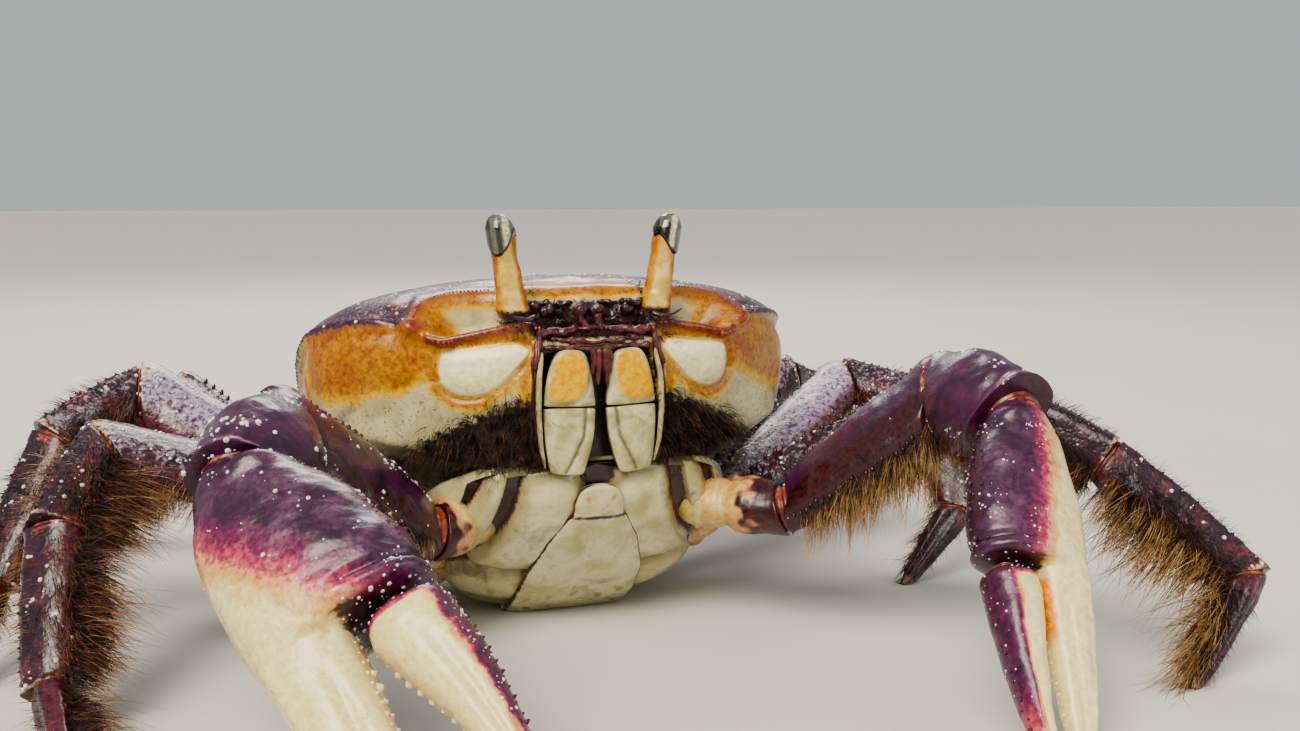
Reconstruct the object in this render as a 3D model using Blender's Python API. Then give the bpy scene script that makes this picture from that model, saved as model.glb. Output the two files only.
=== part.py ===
"""A mangrove land crab (Ucides cordatus, male), built whole and standing in its threat pose.

+Z is up, the crab faces -Y and its right side is -X. Lengths are written in millimetres and
become metres when a mesh is made. The body is tipped nose-up, so it has a frame of its own:
there y runs from the mouth to the tail and z from the belly to the back.
"""
import math

import bmesh
import bpy
import numpy as np

MM = 0.001
GAP = 0.3                     # clearance between two pieces that meet
TILT = math.radians(40)       # the body's nose-up tilt
BODY_AT = (0.0, -8.0, 36.5)   # where the body frame's origin stands

# Carapace, in the body frame
HALF_WIDTH = 39.8             # nearly 80 mm across at the widest
FRONT_RUN = 23.5              # outline's reach ahead of the widest line
REAR_RUN = 41.0               # outline's reach behind it
TAIL_Y = 37.0                 # where the hind edge cuts the outline off
MARGIN_Z = 6.0
DOME = 10.6                   # height of the back above the margin
HULL = 35.0                   # depth of the hull below the margin
FACE_Y = -24.0                # the upright face, along world Y from the body's origin
SPLIT_Y, SPLIT_Z, SPLIT_RISE = -11.6, -22.5, 0.257   # line between carapace and belly
SKIRT_X, SKIRT_RISE = 16.0, 0.5                      # where the shell's lower edge lifts over the legs
EYE_X = 11.3
STALK_TOP = 63.6

# A leg: where it leaves the body, then (length, heading, pitch) of ischium, merus, carpus and
# propodus, then the length and heading of the dactylus, which reaches down to the floor.
LEGS = {
    "right_1": ((-17.5, -21.0, 15.0), (12.3, 173, 19), (41.1, 176, 16), (16.2, 247, -30),
                (21.9, 267, -48), (24.5, 279)),
    "right_2": ((-18.0, -14.5, 10.0), (14.5, 161, 18), (41.6, 154, 30), (14.5, 204, -25),
                (23.2, 234, -54), (22.7, 253)),
    "right_3": ((-17.0, -7.5, 5.6), (13.6, 151, 18), (43.0, 141, 30), (16.0, 140, -13),
                (25.9, 143, -40), (17.0, 127)),
    "right_4": ((-14.0, -0.5, 4.2), (11.9, 139, 13), (34.0, 142, 23), (12.6, 136, -11),
                (19.3, 130, -31), (13.0, 120)),
    "left_1": ((17.5, -21.0, 15.0), (12.2, -18, 19), (38.8, -37, 25), (19.4, -47, -24),
               (24.3, -48, -37), (18.6, 202)),
    "left_2": ((18.0, -14.5, 10.0), (14.2, 20, 21), (39.8, 30, 24), (18.6, -46, -14),
               (20.5, -109, -51), (16.9, 199)),
    "left_3": ((17.0, -7.5, 5.6), (13.6, 29, 18), (38.3, 37, 32), (17.5, 40, -20),
               (25.7, 36, -30), (17.5, 51)),
    "left_4": ((14.0, -0.5, 4.2), (11.9, 41, 12), (34.2, 39, 23), (12.5, 36, -12),
               (18.8, 40, -32), (13.0, 50)),
}
HIND_LEG = 0.8                # the last pair is slighter

# A claw: where it leaves the body, then the poses of ischium, merus and carpus, the hand's
# length, the direction of its palm axis and of its upper edge, its size and the finger's closing.
CLAWS = {
    "right": ((-12.5, -26.0, 18.5), (11.7, 189, -4), (29.1, 205, 35), (14.4, 244, -12),
              57.3, (0.257, -0.798, -0.546), (0.843, -0.034, 0.537), 1.0, 0.0),
    "left": ((12.5, -26.0, 18.5), (18.5, -33, 1), (29.7, -37, 38), (14.5, -84, -3),
             49.7, (-0.205, -0.645, -0.736), (-0.975, 0.043, 0.216), 0.7, 7.0),
}

# Half-height and half-thickness of a piece, then its outline: (place along it, size) pairs
PIECES = {
    "hip": (3.7, 2.8, ((0, 0.9), (0.5, 0.95), (1, 1))),
    "merus": (5.3, 3.1, ((0, 0.66), (0.25, 0.88), (0.6, 1), (1, 0.93))),
    "carpus": (4.6, 3.3, ((0, 0.9), (0.5, 1), (1, 0.93))),
    "propodus": (4.0, 2.7, ((0, 0.95), (0.35, 1), (0.75, 0.9), (1, 0.8))),
    "dactylus": (2.9, 2.1, ((0, 1), (0.35, 0.8), (0.75, 0.5), (1, 0.28))),
}
CLAW_PIECES = {
    "hip": (4.2, 3.8, ((0, 0.9), (0.5, 0.97), (1, 1))),
    "merus": (7.0, 4.4, ((0, 0.56), (0.25, 0.84), (0.6, 1.02), (1, 0.98))),
    "carpus": (7.2, 6.5, ((0, 0.85), (0.45, 1.08), (1, 0.85))),
}
# The hand along its length: (place, lower edge, upper edge, half-thickness), as parts of 57.5 mm
PALM = ((-3.5, -2.0, 2.4, 2.4), (-1.5, -4.4, 4.4, 4.4), (1, -6.0, 6.2, 5.4), (6, -7.9, 9.0, 6.4),
        (12, -8.7, 11.9, 7.0), (20, -8.5, 14.0, 7.2), (25, -7.9, 14.4, 6.8), (27, -7.6, 13.6, 6.2),
        (27.4, -7.5, 4.0, 5.4), (31, -7.0, 3.6, 4.8), (36, -6.3, 3.3, 4.2), (43, -4.9, 3.0, 3.5),
        (50, -3.0, 2.6, 2.5), (55, -1.2, 2.2, 1.6), (57.8, 0.3, 1.6, 0.7))
FINGER = ((28.1, 6.2, 12.4, 2.6), (29.2, 5.0, 13.9, 4.4), (32, 4.7, 14.8, 5.0), (37, 6.4, 15.2, 4.6),
          (43, 8.4, 15.1, 4.0), (49, 9.9, 14.7, 3.2), (55, 10.7, 13.6, 2.2), (59.4, 10.9, 12.1, 0.8))
HINGE = (28.0, 10.0)
HAND_LENGTH = 57.5

# Belly along the body: (y, depth of its surface, half-width), then the abdomen folded on it
BELLY = ((-10.2, -23.6, 9.0), (-8, -26.2, 12.0), (-4, -28.6, 15.0), (2, -30.2, 17.5),
         (9, -31.1, 19.0), (15, -31.0, 19.0), (20.5, -30.3, 18.0), (26, -26.2, 16.0),
         (31, -21.9, 14.0), (35, -18.3, 12.0))
ABDOMEN = ((-9.0, -25.2, 2.6), (-7.2, -26.9, 3.8), (-6, -27.5, 4.0), (-1, -29.3, 6.5),
           (6, -30.8, 9.3), (14, -31.1, 10.0), (20.5, -30.3, 10.2), (26, -26.2, 10.2),
           (31, -21.9, 10.0), (35.2, -17.9, 9.4), (36.8, -12.4, 8.6))
ABDOMEN_THICK = 2.2

COLOURS = {
    "carapace_shell": (0.42, 0.26, 0.16), "belly_shell": (0.62, 0.56, 0.38),
    "mouth_plate": (0.70, 0.58, 0.34), "stalk_skin": (0.72, 0.42, 0.10),
    "cornea": (0.07, 0.09, 0.07), "joint_shell": (0.60, 0.30, 0.14),
    "claw_shell": (0.13, 0.03, 0.10), "finger_shell": (0.78, 0.68, 0.44),
    "leg_shell": (0.08, 0.02, 0.05),
}
ROUGHNESS = {"cornea": 0.08, "stalk_skin": 0.35}


def unit(vector):
    return vector / np.linalg.norm(vector)


def towards(heading, pitch):
    """The direction with this compass heading and climb, in degrees."""
    turn = math.radians(heading)
    climb = math.radians(pitch)
    flat = math.cos(climb)
    return np.array([math.cos(turn) * flat, math.sin(turn) * flat, math.sin(climb)])


def to_world(points):
    """Body-frame points (mm) in the world's frame."""
    x, y, z = np.asarray(points, float).T
    ahead = y * math.cos(TILT) + z * math.sin(TILT)
    above = z * math.cos(TILT) - y * math.sin(TILT)
    return np.stack([x, ahead, above], 1) + np.array(BODY_AT)


def turned(vector):
    """A body-frame direction in the world's frame."""
    return to_world([vector])[0] - np.array(BODY_AT)


def ring(centre, up, side, height, width, count, power=2.4):
    """A closed superelliptic section with `count` corners."""
    turn = (np.arange(count) + 0.5) * 2 * math.pi / count
    across = np.sign(np.cos(turn)) * np.abs(np.cos(turn)) ** (2 / power) * height
    along = np.sign(np.sin(turn)) * np.abs(np.sin(turn)) ** (2 / power) * width
    return np.asarray(centre) + np.outer(across, up) + np.outer(along, side)


def new_object(name, bm, material, collection):
    bmesh.ops.recalc_face_normals(bm, faces=bm.faces)
    if bm.calc_volume(signed=True) < 0:
        bmesh.ops.reverse_faces(bm, faces=bm.faces)
    mesh = bpy.data.meshes.new(name)
    bm.to_mesh(mesh)
    bm.free()
    mesh.transform(np.diag([MM, MM, MM, 1.0]))
    obj = bpy.data.objects.new(name, mesh)
    if material:
        mesh.materials.append(bpy.data.materials[material])
    collection.objects.link(obj)
    return obj


def loft(rings):
    """A bmesh skinned through unlike sections, closed by a flat cap at each end."""
    bm = bmesh.new()
    rows = [[bm.verts.new(point) for point in section] for section in rings]
    for lower, upper in zip(rows, rows[1:]):
        for i in range(len(lower)):
            j = (i + 1) % len(lower)
            bm.faces.new((lower[i], lower[j], upper[j], upper[i]))
    bm.faces.new(rows[0][::-1])
    bm.faces.new(rows[-1])
    return bm


def cut(bm, point, outward):
    """Takes off all that lies beyond a plane and closes the cut."""
    everything = bm.verts[:] + bm.edges[:] + bm.faces[:]
    bmesh.ops.bisect_plane(bm, geom=everything, dist=1e-5, plane_co=point, plane_no=outward,
                           clear_outer=True)
    rim = [edge for edge in bm.edges if edge.is_boundary]
    if rim:
        bmesh.ops.holes_fill(bm, edges=rim, sides=0)


def on_floor(bm):
    cut(bm, (0, 0, 0), (0, 0, -1))


def mitre(bm, joint, before, after, keep_before):
    """Cuts a limb piece where it meets its neighbour, half a gap back from the shared plane."""
    normal = unit(before + after)
    sign = 1 if keep_before else -1
    cut(bm, joint - sign * normal * GAP / 2, sign * normal)


def limb_piece(start, end, side, shape, scale=1.0, grow=0.0, domes=(True, True), count=8):
    """A limb piece from joint to joint, rounded past each joint so that a mitre can meet it."""
    height, width, outline = shape
    height = height * scale + grow
    width = width * scale + grow
    along = unit(end - start)
    side = unit(side - along * side.dot(along))
    up = np.cross(side, along)
    reach = np.linalg.norm(end - start)
    places = [(place * reach, size) for place, size in outline]
    if domes[0]:
        size = outline[0][1]
        places = [(-0.95 * height - grow, 0.4 * size), (-0.6 * height - grow, 0.8 * size)] + places
    if domes[1]:
        size = outline[-1][1]
        places += [(reach + 0.6 * height, 0.8 * size), (reach + 0.95 * height, 0.4 * size)]
    return loft([ring(start + along * place, up, side, height * size, width * size, count)
                 for place, size in places])


def hinge_sides(ways):
    """The hinge axis to set each limb piece against, from the bends at its two ends."""
    bends = [np.cross(a, b) for a, b in zip(ways[1:], ways[2:])]
    return [bends[0], bends[0]] + [a + b for a, b in zip(bends, bends[1:])] + [bends[-1]]


def make_leg(name, hip, poses, foot, nodes, sockets):
    """One walking leg: five pieces mitred at their joints, with its foot flat on the floor."""
    scale = HIND_LEG if name.endswith("4") else 1.0
    joints = [np.array(hip)]
    for length, heading, pitch in poses:
        joints.append(joints[-1] + length * towards(heading, pitch))
    drop = math.degrees(math.asin(joints[-1][2] / foot[0]))
    joints.append(joints[-1] + foot[0] * towards(foot[1], -drop))
    ways = [unit(b - a) for a, b in zip(joints, joints[1:])]
    sides = hinge_sides(ways)
    for i, (piece, shape) in enumerate(PIECES.items()):
        last = i == len(ways) - 1
        ends = (joints[i], joints[i + 1] + (ways[i] * 0.6 if last else 0))
        bm = limb_piece(*ends, sides[i], shape, scale, domes=(True, not last))
        if i > 0:
            mitre(bm, joints[i], ways[i - 1], ways[i], keep_before=False)
        if not last:
            mitre(bm, joints[i + 1], ways[i], ways[i + 1], keep_before=True)
        on_floor(bm)
        new_object(f"leg_{name}_{piece}", bm, "joint_shell" if i == 0 else "leg_shell", nodes)
    bm = limb_piece(joints[0], joints[1], sides[0], PIECES["hip"], scale, grow=GAP + 0.05)
    new_object(f"socket_leg_{name}", bm, None, sockets)


def hand_rings(sections, size, origin, along, up, count, close=0.0):
    """The sections of a palm or finger, closed about the hinge by `close` degrees."""
    side = np.cross(along, up)
    angle = math.radians(-close)
    rings = []
    for place, low, high, thick in sections:
        flat = np.array([place, (low + high) / 2]) - HINGE
        turned_in = np.array([flat[0] * math.cos(angle) - flat[1] * math.sin(angle),
                              flat[0] * math.sin(angle) + flat[1] * math.cos(angle)]) + HINGE
        centre = origin + (along * turned_in[0] + up * turned_in[1]) * size
        rings.append(ring(centre, up, side, (high - low) / 2 * size, thick * size, count))
    return rings


def make_claw(name, hip, poses, length, along, up, size, close, nodes, sockets):
    joints = [np.array(hip)]
    for reach, heading, pitch in poses:
        joints.append(joints[-1] + reach * towards(heading, pitch))
    along = unit(np.array(along))
    up = unit(np.array(up) - along * np.dot(up, along))
    ways = [unit(b - a) for a, b in zip(joints, joints[1:])] + [along]
    sides = hinge_sides(ways)
    scale = (0.92 + size * 0.08) if size < 1 else 1.0
    for i, (piece, shape) in enumerate(CLAW_PIECES.items()):
        bm = limb_piece(joints[i], joints[i + 1], sides[i], shape, scale, count=12)
        if i > 0:
            mitre(bm, joints[i], ways[i - 1], ways[i], keep_before=False)
        mitre(bm, joints[i + 1], ways[i], ways[i + 1], keep_before=True)
        new_object(f"claw_{name}_{piece}", bm, "joint_shell" if i == 0 else "claw_shell", nodes)
    bm = limb_piece(joints[0], joints[1], sides[0], CLAW_PIECES["hip"], scale, grow=GAP + 0.05,
                    count=12)
    new_object(f"socket_claw_{name}", bm, None, sockets)
    reach = [(place * length / HAND_LENGTH / size, *rest) for place, *rest in PALM]
    bm = loft(hand_rings(reach, size, joints[3], along, up, 14))
    mitre(bm, joints[3], ways[2], along, keep_before=False)
    on_floor(bm)
    new_object(f"claw_{name}_palm", bm, "claw_shell", nodes)
    reach = [(place * length / HAND_LENGTH / size, *rest) for place, *rest in FINGER]
    bm = loft(hand_rings(reach, size, joints[3], along, up, 12, close))
    on_floor(bm)
    new_object(f"claw_{name}_finger", bm, "finger_shell", nodes)


def shell_field(points):
    """Below zero inside the carapace (body frame, mm): a domed hull, an upright face, a cut tail."""
    x, y, z = points.T
    run = np.where(y < 0, FRONT_RUN, REAR_RUN)
    spread = (np.abs(x / HALF_WIDTH) ** 2.15 + np.abs(y / run) ** 2.15) ** (1 / 2.15)
    margin = MARGIN_Z - 0.022 * np.minimum(y, 0) ** 2 - 0.002 * np.maximum(y, 0) ** 2
    lift = np.where(z > margin, (z - margin) / DOME, (z - margin) / HULL)
    hull = (np.sqrt(spread ** 2 + lift ** 2) - 1) * 25
    face = FACE_Y + 0.0112 * x ** 2 - (y * math.cos(TILT) + z * math.sin(TILT))
    tail = y - TAIL_Y
    soft = 1.1
    return soft * np.log(np.exp(hull / soft) + np.exp(face / soft) + np.exp(tail / soft))


def make_carapace(nodes):
    """A sphere's corners carried out along their own rays to the shell's surface."""
    bpy.ops.mesh.primitive_uv_sphere_add(segments=44, ring_count=26, radius=1)
    ball = bpy.context.object
    bm = bmesh.new()
    bm.from_mesh(ball.data)
    bpy.data.objects.remove(ball)
    rays = np.array([vertex.co for vertex in bm.verts])
    heart = np.array([0.0, 4.0, -3.0])
    near = np.zeros(len(rays))
    far = np.full(len(rays), 70.0)
    for _ in range(40):
        middle = (near + far) / 2
        inside = shell_field(heart + rays * middle[:, None]) < 0
        near = np.where(inside, middle, near)
        far = np.where(inside, far, middle)
    surface = to_world(heart + rays * near[:, None])
    for vertex, point in zip(bm.verts, surface):
        vertex.co = point
    for hand in (-1, 0, 1):
        cut(bm, *split_plane(hand, -GAP / 2))
    return new_object("carapace", bm, "carapace_shell", nodes)


def split_plane(hand, back):
    """The carapace's lower limit, level at mid-belly and lifting over the legs on either hand."""
    normal = unit(turned((-hand * SKIRT_RISE, -SPLIT_RISE, 1.0)))
    point = to_world([(hand * SKIRT_X, SPLIT_Y, SPLIT_Z)])[0]
    return point - normal * back, -normal


def make_belly(nodes):
    """The sternum, lofted tail to mouth and cut flat under the carapace and on the floor."""
    up = turned((0.0, 0.0, 1.0))
    side = np.array([1.0, 0.0, 0.0])
    rings = []
    for y, depth, half in BELLY:
        top = SPLIT_Z + (y - SPLIT_Y) * SPLIT_RISE
        rings.append(ring(to_world([(0, y, top)])[0], up, side, top - depth, half, 20, 2.8))
    bm = loft(rings)
    point, normal = split_plane(0, GAP / 2)
    cut(bm, point, -normal)
    on_floor(bm)
    return new_object("sternum", bm, "belly_shell", nodes)


def abdomen_rings(grow):
    """Flat sections that follow the belly and turn up at the tail."""
    line = to_world([(0, y, z) for y, z, _ in ABDOMEN])
    side = np.array([1.0, 0.0, 0.0])
    rings = []
    for i, (_, _, half) in enumerate(ABDOMEN):
        way = unit(line[min(i + 1, len(line) - 1)] - line[max(i - 1, 0)])
        out = np.cross(side, way)
        shift = way * grow * ((i == len(line) - 1) - (i == 0)) * 1.2
        centre = line[i] + shift - out * (ABDOMEN_THICK / 2 - 0.7)
        rings.append(ring(centre, out, side, ABDOMEN_THICK / 2 + grow, half + grow, 12, 3.2))
    return rings


def slab(corners, front, back, grow=0.0):
    """An upright plate: (height, inner x, outer x) rows between two world-Y depths."""
    rings = []
    last = len(corners) - 1
    for i, (z, inner, outer) in enumerate(corners):
        centre = ((inner + outer) / 2, (front + back) / 2, z + grow * ((i == last) - (i == 0)))
        rings.append(ring(centre, (0, 1, 0), (1, 0, 0), abs(front - back) / 2 + grow,
                          abs(outer - inner) / 2 + grow, 12, 4.0))
    return loft(rings)


def stalk_rings(hand, sections, grow=0.0):
    """Round sections up one eyestalk, which leans out as it rises."""
    rings = []
    for z, radius in sections:
        rise = z - 50.6
        centre = (hand * (EYE_X + 0.16 * rise), -24.9 - 0.02 * rise, z)
        rings.append(ring(centre, (0, 1, 0), (1, 0, 0), radius + grow, radius + grow, 12, 2.0))
    return rings


def boolean(obj, collection, name):
    modifier = obj.modifiers.new(name, "BOOLEAN")
    modifier.operation = "DIFFERENCE"
    modifier.solver = "EXACT"
    modifier.operand_type = "COLLECTION"
    modifier.collection = collection


def cutter_group(name, parent):
    group = bpy.data.collections.new(name)
    parent.children.link(group)
    return group


def main():
    for obj in list(bpy.data.objects):
        bpy.data.objects.remove(obj)
    for name, colour in COLOURS.items():
        material = bpy.data.materials.new(name)
        material.use_nodes = True
        shader = material.node_tree.nodes["Principled BSDF"]
        shader.inputs["Base Color"].default_value = (*colour, 1)
        shader.inputs["Roughness"].default_value = ROUGHNESS.get(name, 0.42)
        shader.inputs["Metallic"].default_value = 0
    nodes = bpy.data.collections.new("land_crab")
    cutters = bpy.data.collections.new("land_crab_cutters")
    bpy.context.scene.collection.children.link(nodes)
    bpy.context.scene.collection.children.link(cutters)
    sockets = cutter_group("limb_sockets", cutters)
    seats = cutter_group("face_seats", cutters)
    claw_seats = cutter_group("claw_seats", cutters)
    fold = cutter_group("abdomen_seat", cutters)

    for name, (hip, *poses, foot) in LEGS.items():
        make_leg(name, hip, poses, foot, nodes, sockets)
    for name, (hip, *rest) in CLAWS.items():
        make_claw(name, hip, rest[:3], *rest[3:], nodes, claw_seats)

    carapace = make_carapace(nodes)
    sternum = make_belly(nodes)
    bm = loft(abdomen_rings(0.0))
    on_floor(bm)
    new_object("abdomen", bm, "belly_shell", nodes)
    new_object("abdomen_cutter", loft(abdomen_rings(GAP)), None, fold)

    mouth = ((27.0, 2.6, 7.8), (31.0, 1.0, 8.5), (35.6, 0.7, 8.6), (41.0, 0.9, 8.0), (43.4, 1.9, 6.6))
    for hand, word in ((-1, "right"), (1, "left")):
        plate = [(z, hand * inner, hand * outer) for z, inner, outer in mouth]
        new_object(f"maxilliped_{word}", slab(plate, -33.4, -30.8), "mouth_plate", nodes)
        stalk = loft(stalk_rings(hand, ((48.4, 2.2), (51, 2.1), (55, 1.8), (58.5, 1.95), (62, 1.6))))
        ball = loft(stalk_rings(hand, ((56.2, 0.9), (57.2, 1.7), (59, 2.2), (61.2, 2.15),
                                       (62.9, 1.5), (STALK_TOP, 0.6))))
        lens_way = unit(np.array([hand * 0.45, -0.75, 0.75]))
        lens_at = np.array([hand * (EYE_X + 1.4), -25.1, 59.4])
        cut(stalk, lens_at - lens_way * GAP / 2, lens_way)
        cut(ball, lens_at + lens_way * GAP / 2, -lens_way)
        new_object(f"eyestalk_{word}", stalk, "stalk_skin", nodes)
        new_object(f"eye_{word}", ball, "cornea", nodes)
        seat = loft(stalk_rings(hand, ((47.9, 2.2), (51, 2.2), (56, 2.2)), GAP))
        new_object(f"stalk_seat_{word}", seat, None, seats)
        bpy.ops.mesh.primitive_uv_sphere_add(segments=16, ring_count=10, radius=MM)
        orbit = bpy.context.object
        orbit.name = f"orbit_{word}"
        orbit.data.transform(np.diag([8.8, 4.4, 3.0, 1.0]))
        orbit.location = (hand * 18.8 * MM, -26.6 * MM, 47.6 * MM)
        orbit.rotation_euler = (math.radians(-15), math.radians(hand * 8), math.radians(hand * 12))
        orbit.users_collection[0].objects.unlink(orbit)
        seats.objects.link(orbit)
    frame = slab(((24.0, -9.2, 9.2), (31, -9.4, 9.4), (37, -9.4, 9.4), (43.9, -8.6, 8.6)), -37.0, -30.4)
    new_object("mouth_frame", frame, None, seats)

    boolean(carapace, seats, "face seats")
    boolean(carapace, claw_seats, "claw seats")
    boolean(sternum, sockets, "leg sockets")
    boolean(sternum, claw_seats, "claw sockets")
    boolean(sternum, fold, "abdomen seat")
    for obj in cutters.all_objects:
        obj.hide_render = True
        obj.display_type = "WIRE"


main()
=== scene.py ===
# %% [markdown]
# # A mangrove land crab in its threat pose
#
# *Ucides cordatus*, a male, 80 mm across the shell. Each step of this lesson says what the piece
# is on the animal, how it could be made, and why it is made this way here. A crab is a suit of
# hard plates of one stuff, cuticle, in colours from violet to orange to ivory, with soft skin at
# the joints and bristles where two plates rub. So the work is three things over and over: a swept
# or ray-cast plate, a finish for it, and small repeated things grown on it with Geometry Nodes.

# %% Load the fixed frame and keep its box
import math
import bpy
import numpy as np
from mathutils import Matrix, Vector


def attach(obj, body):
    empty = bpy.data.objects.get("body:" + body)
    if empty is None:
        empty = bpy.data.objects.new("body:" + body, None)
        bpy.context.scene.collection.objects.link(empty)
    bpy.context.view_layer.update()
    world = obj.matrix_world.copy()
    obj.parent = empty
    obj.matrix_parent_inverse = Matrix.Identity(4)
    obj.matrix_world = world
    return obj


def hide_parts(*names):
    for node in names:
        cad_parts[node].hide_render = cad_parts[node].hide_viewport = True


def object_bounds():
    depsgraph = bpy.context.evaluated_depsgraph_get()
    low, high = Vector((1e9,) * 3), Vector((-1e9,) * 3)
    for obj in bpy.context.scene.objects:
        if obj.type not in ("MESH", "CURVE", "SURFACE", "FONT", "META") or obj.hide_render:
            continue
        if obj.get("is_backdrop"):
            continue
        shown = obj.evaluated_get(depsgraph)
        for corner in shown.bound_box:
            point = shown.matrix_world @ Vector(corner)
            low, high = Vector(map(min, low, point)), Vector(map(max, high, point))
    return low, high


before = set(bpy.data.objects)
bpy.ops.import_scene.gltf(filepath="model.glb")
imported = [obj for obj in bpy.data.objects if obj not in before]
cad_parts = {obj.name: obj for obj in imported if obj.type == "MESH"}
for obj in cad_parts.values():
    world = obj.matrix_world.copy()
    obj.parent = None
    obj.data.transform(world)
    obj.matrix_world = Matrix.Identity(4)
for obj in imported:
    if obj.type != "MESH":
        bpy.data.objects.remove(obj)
cad_box = [list(corner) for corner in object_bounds()]
MM = 0.001
GAP = 0.3
print("CAD box, mm:", [[round(v / MM, 1) for v in corner] for corner in cad_box])

# %% [markdown]
# ## Two small helpers for materials
#
# Colours are written as sRGB hex, as a colour picker gives them, and a shader wants linear light,
# so one function turns one into the other. A second adds a node with its settings and its links
# in one line, which keeps a material readable as a recipe.

# %% Colour and node helpers
def linear(code):
    """An sRGB hex colour such as '7A2F52' in linear light, with an alpha of one."""
    parts = [int(code[i:i + 2], 16) / 255 for i in (0, 2, 4)]
    return (*[c / 12.92 if c <= 0.04045 else ((c + 0.055) / 1.055) ** 2.4 for c in parts], 1.0)


def add(tree, kind, inputs=None, take=None, **settings):
    """Adds one node: its settings by name, each input as a value or another node's socket.

    It returns the node, or its output `take` where one is named."""
    node = tree.nodes.new(kind)
    for name, value in settings.items():
        setattr(node, name, value)
    for key, value in (inputs or {}).items():
        if isinstance(value, bpy.types.NodeSocket):
            tree.links.new(value, node.inputs[key])
        else:
            node.inputs[key].default_value = value
    return node if take is None else node.outputs[take]


print("a violet in linear light:", [round(v, 3) for v in linear("4B2347")])

# %% [markdown]
# ## Camera, floor and lights
#
# The camera sits low, level with the crab's eyes, so the far legs climb up the frame only a little.
# The floor is a plain pale sheet. Cuticle is judged by its highlights, so the lights are large and
# soft: an even wash from above left over the whole floor, and soft boxes at the left, the right
# and behind, which draw pale edges on the violet plates.

# %% Camera
scene = bpy.context.scene


def placed(name, data):
    """Puts an object into the scene."""
    obj = bpy.data.objects.new(name, data)
    scene.collection.objects.link(obj)
    return obj


camera = placed("camera", bpy.data.cameras.new("camera"))
camera.location = (-0.061, -0.2208, 0.066)
camera.rotation_euler = (math.radians(90 - 7.08), 0.0, math.radians(-20))
camera.data.lens = 38.0
camera.data.sensor_width = 36.0
camera.data.clip_start = 0.005
camera.data.clip_end = 20.0
scene.camera = camera
print("camera height over the floor:", round(camera.location.z / MM), "mm")

# %% Floor and studio light
def studio_light(name, place, target, size, power, tint):
    """A square soft box that faces a target."""
    data = bpy.data.lights.new(name, "AREA")
    data.size = size
    data.energy = power
    data.color = linear(tint)[:3]
    lamp = placed(name, data)
    lamp.location = place
    x, y, z = np.array(place) - np.array(target)
    lamp.rotation_euler = (math.atan2(math.hypot(x, y), z), 0.0, math.atan2(y, x) + math.pi / 2)


wash = placed("wash", bpy.data.lights.new("wash", "SUN"))
wash.data.energy = 1.65
wash.data.angle = math.radians(40)
wash.data.color = linear("FFF6EA")[:3]
wash.rotation_euler = (math.radians(38), 0.0, math.radians(-40))
studio_light("key", (-0.45, -0.42, 0.62), (0, -0.02, 0.03), 0.40, 4.4, "FFF6EA")
studio_light("fill", (0.62, -0.50, 0.30), (0, -0.02, 0.03), 0.4, 1.3, "EEF3FF")
studio_light("back", (0.15, 0.62, 0.58), (0, 0, 0.03), 0.4, 2.6, "FFFDF8")
scene.view_settings.look = "AgX - Medium High Contrast"
scene.world = bpy.data.worlds.new("studio")
scene.world.use_nodes = True
sky = scene.world.node_tree.nodes["Background"].inputs
sky["Color"].default_value = linear("E9EBEC")
sky["Strength"].default_value = 0.52

floor_mesh = bpy.data.meshes.new("studio_floor")
half = 6
floor_mesh.from_pydata([(-half, -half, 0), (half, -half, 0), (half, half, 0), (-half, half, 0)], [],
                       [(0, 1, 2, 3)])
floor = placed("studio_floor", floor_mesh)
paper = bpy.data.materials.new("matt_backdrop_paper")
paper.use_nodes = True
shader = paper.node_tree.nodes["Principled BSDF"]
fibre = add(paper.node_tree, "ShaderNodeTexNoise", {"Scale": 180.0, "Detail": 4.0}, "Fac")
shade = add(paper.node_tree, "ShaderNodeMix",
            {0: fibre, 6: linear("CFCBC4"), 7: linear("D8D4CD")}, 2, data_type="RGBA")
paper.node_tree.links.new(shade, shader.inputs["Base Color"])
shader.inputs["Roughness"].default_value = 0.9
floor_mesh.materials.append(paper)
floor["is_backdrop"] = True

# %% [markdown]
# ## Mesh helpers
#
# Every hard piece of a crab is a swept tube or a plate with an outline. Both can be skinned from
# rings of points: along a limb, or shrinking to the middle of a plate. Building them as arrays
# rather than with modifiers keeps each point's place along and around the piece known, so masks
# for colour, relief and hair come for free.

# %% Points, faces and rings
def unit(vectors):
    """Vectors of length one, along the last axis."""
    vectors = np.asarray(vectors, float)
    return vectors / np.linalg.norm(vectors, axis=-1, keepdims=True)


def step(value, low, high):
    """0 at low and beyond, 1 at high and beyond, a smooth climb between. Low may be the greater."""
    part = np.clip((np.asarray(value, float) - low) / (high - low), 0, 1)
    return part * part * (3 - 2 * part)


def hump(value, middle, width):
    """1 at the middle, falling away smoothly on both sides."""
    return np.exp(-((np.asarray(value, float) - middle) / width) ** 2)


def around(count, shift=0.0):
    """Evenly spaced angles for one whole turn."""
    return (np.arange(count) + shift) * 2 * math.pi / count


def squared(wave, power):
    """A sine or cosine squared off: it draws a circle at a power of 2, and a boxier oval above."""
    return np.sign(wave) * np.abs(wave) ** (2 / power)


def sampled(part, knots, points):
    """Each column of the points, read between its knots."""
    return np.stack([np.interp(part, knots, column) for column in np.transpose(points)], -1)


def rings_about(middle, up, rise, side, reach):
    """Rings of points about a line, `rise` along `up` and `reach` along `side` from it."""
    up, side = [way if way.ndim == 1 else way[:, None] for way in map(np.asarray, (up, side))]
    return middle[:, None] + rise[..., None] * up + reach[..., None] * side


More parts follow.
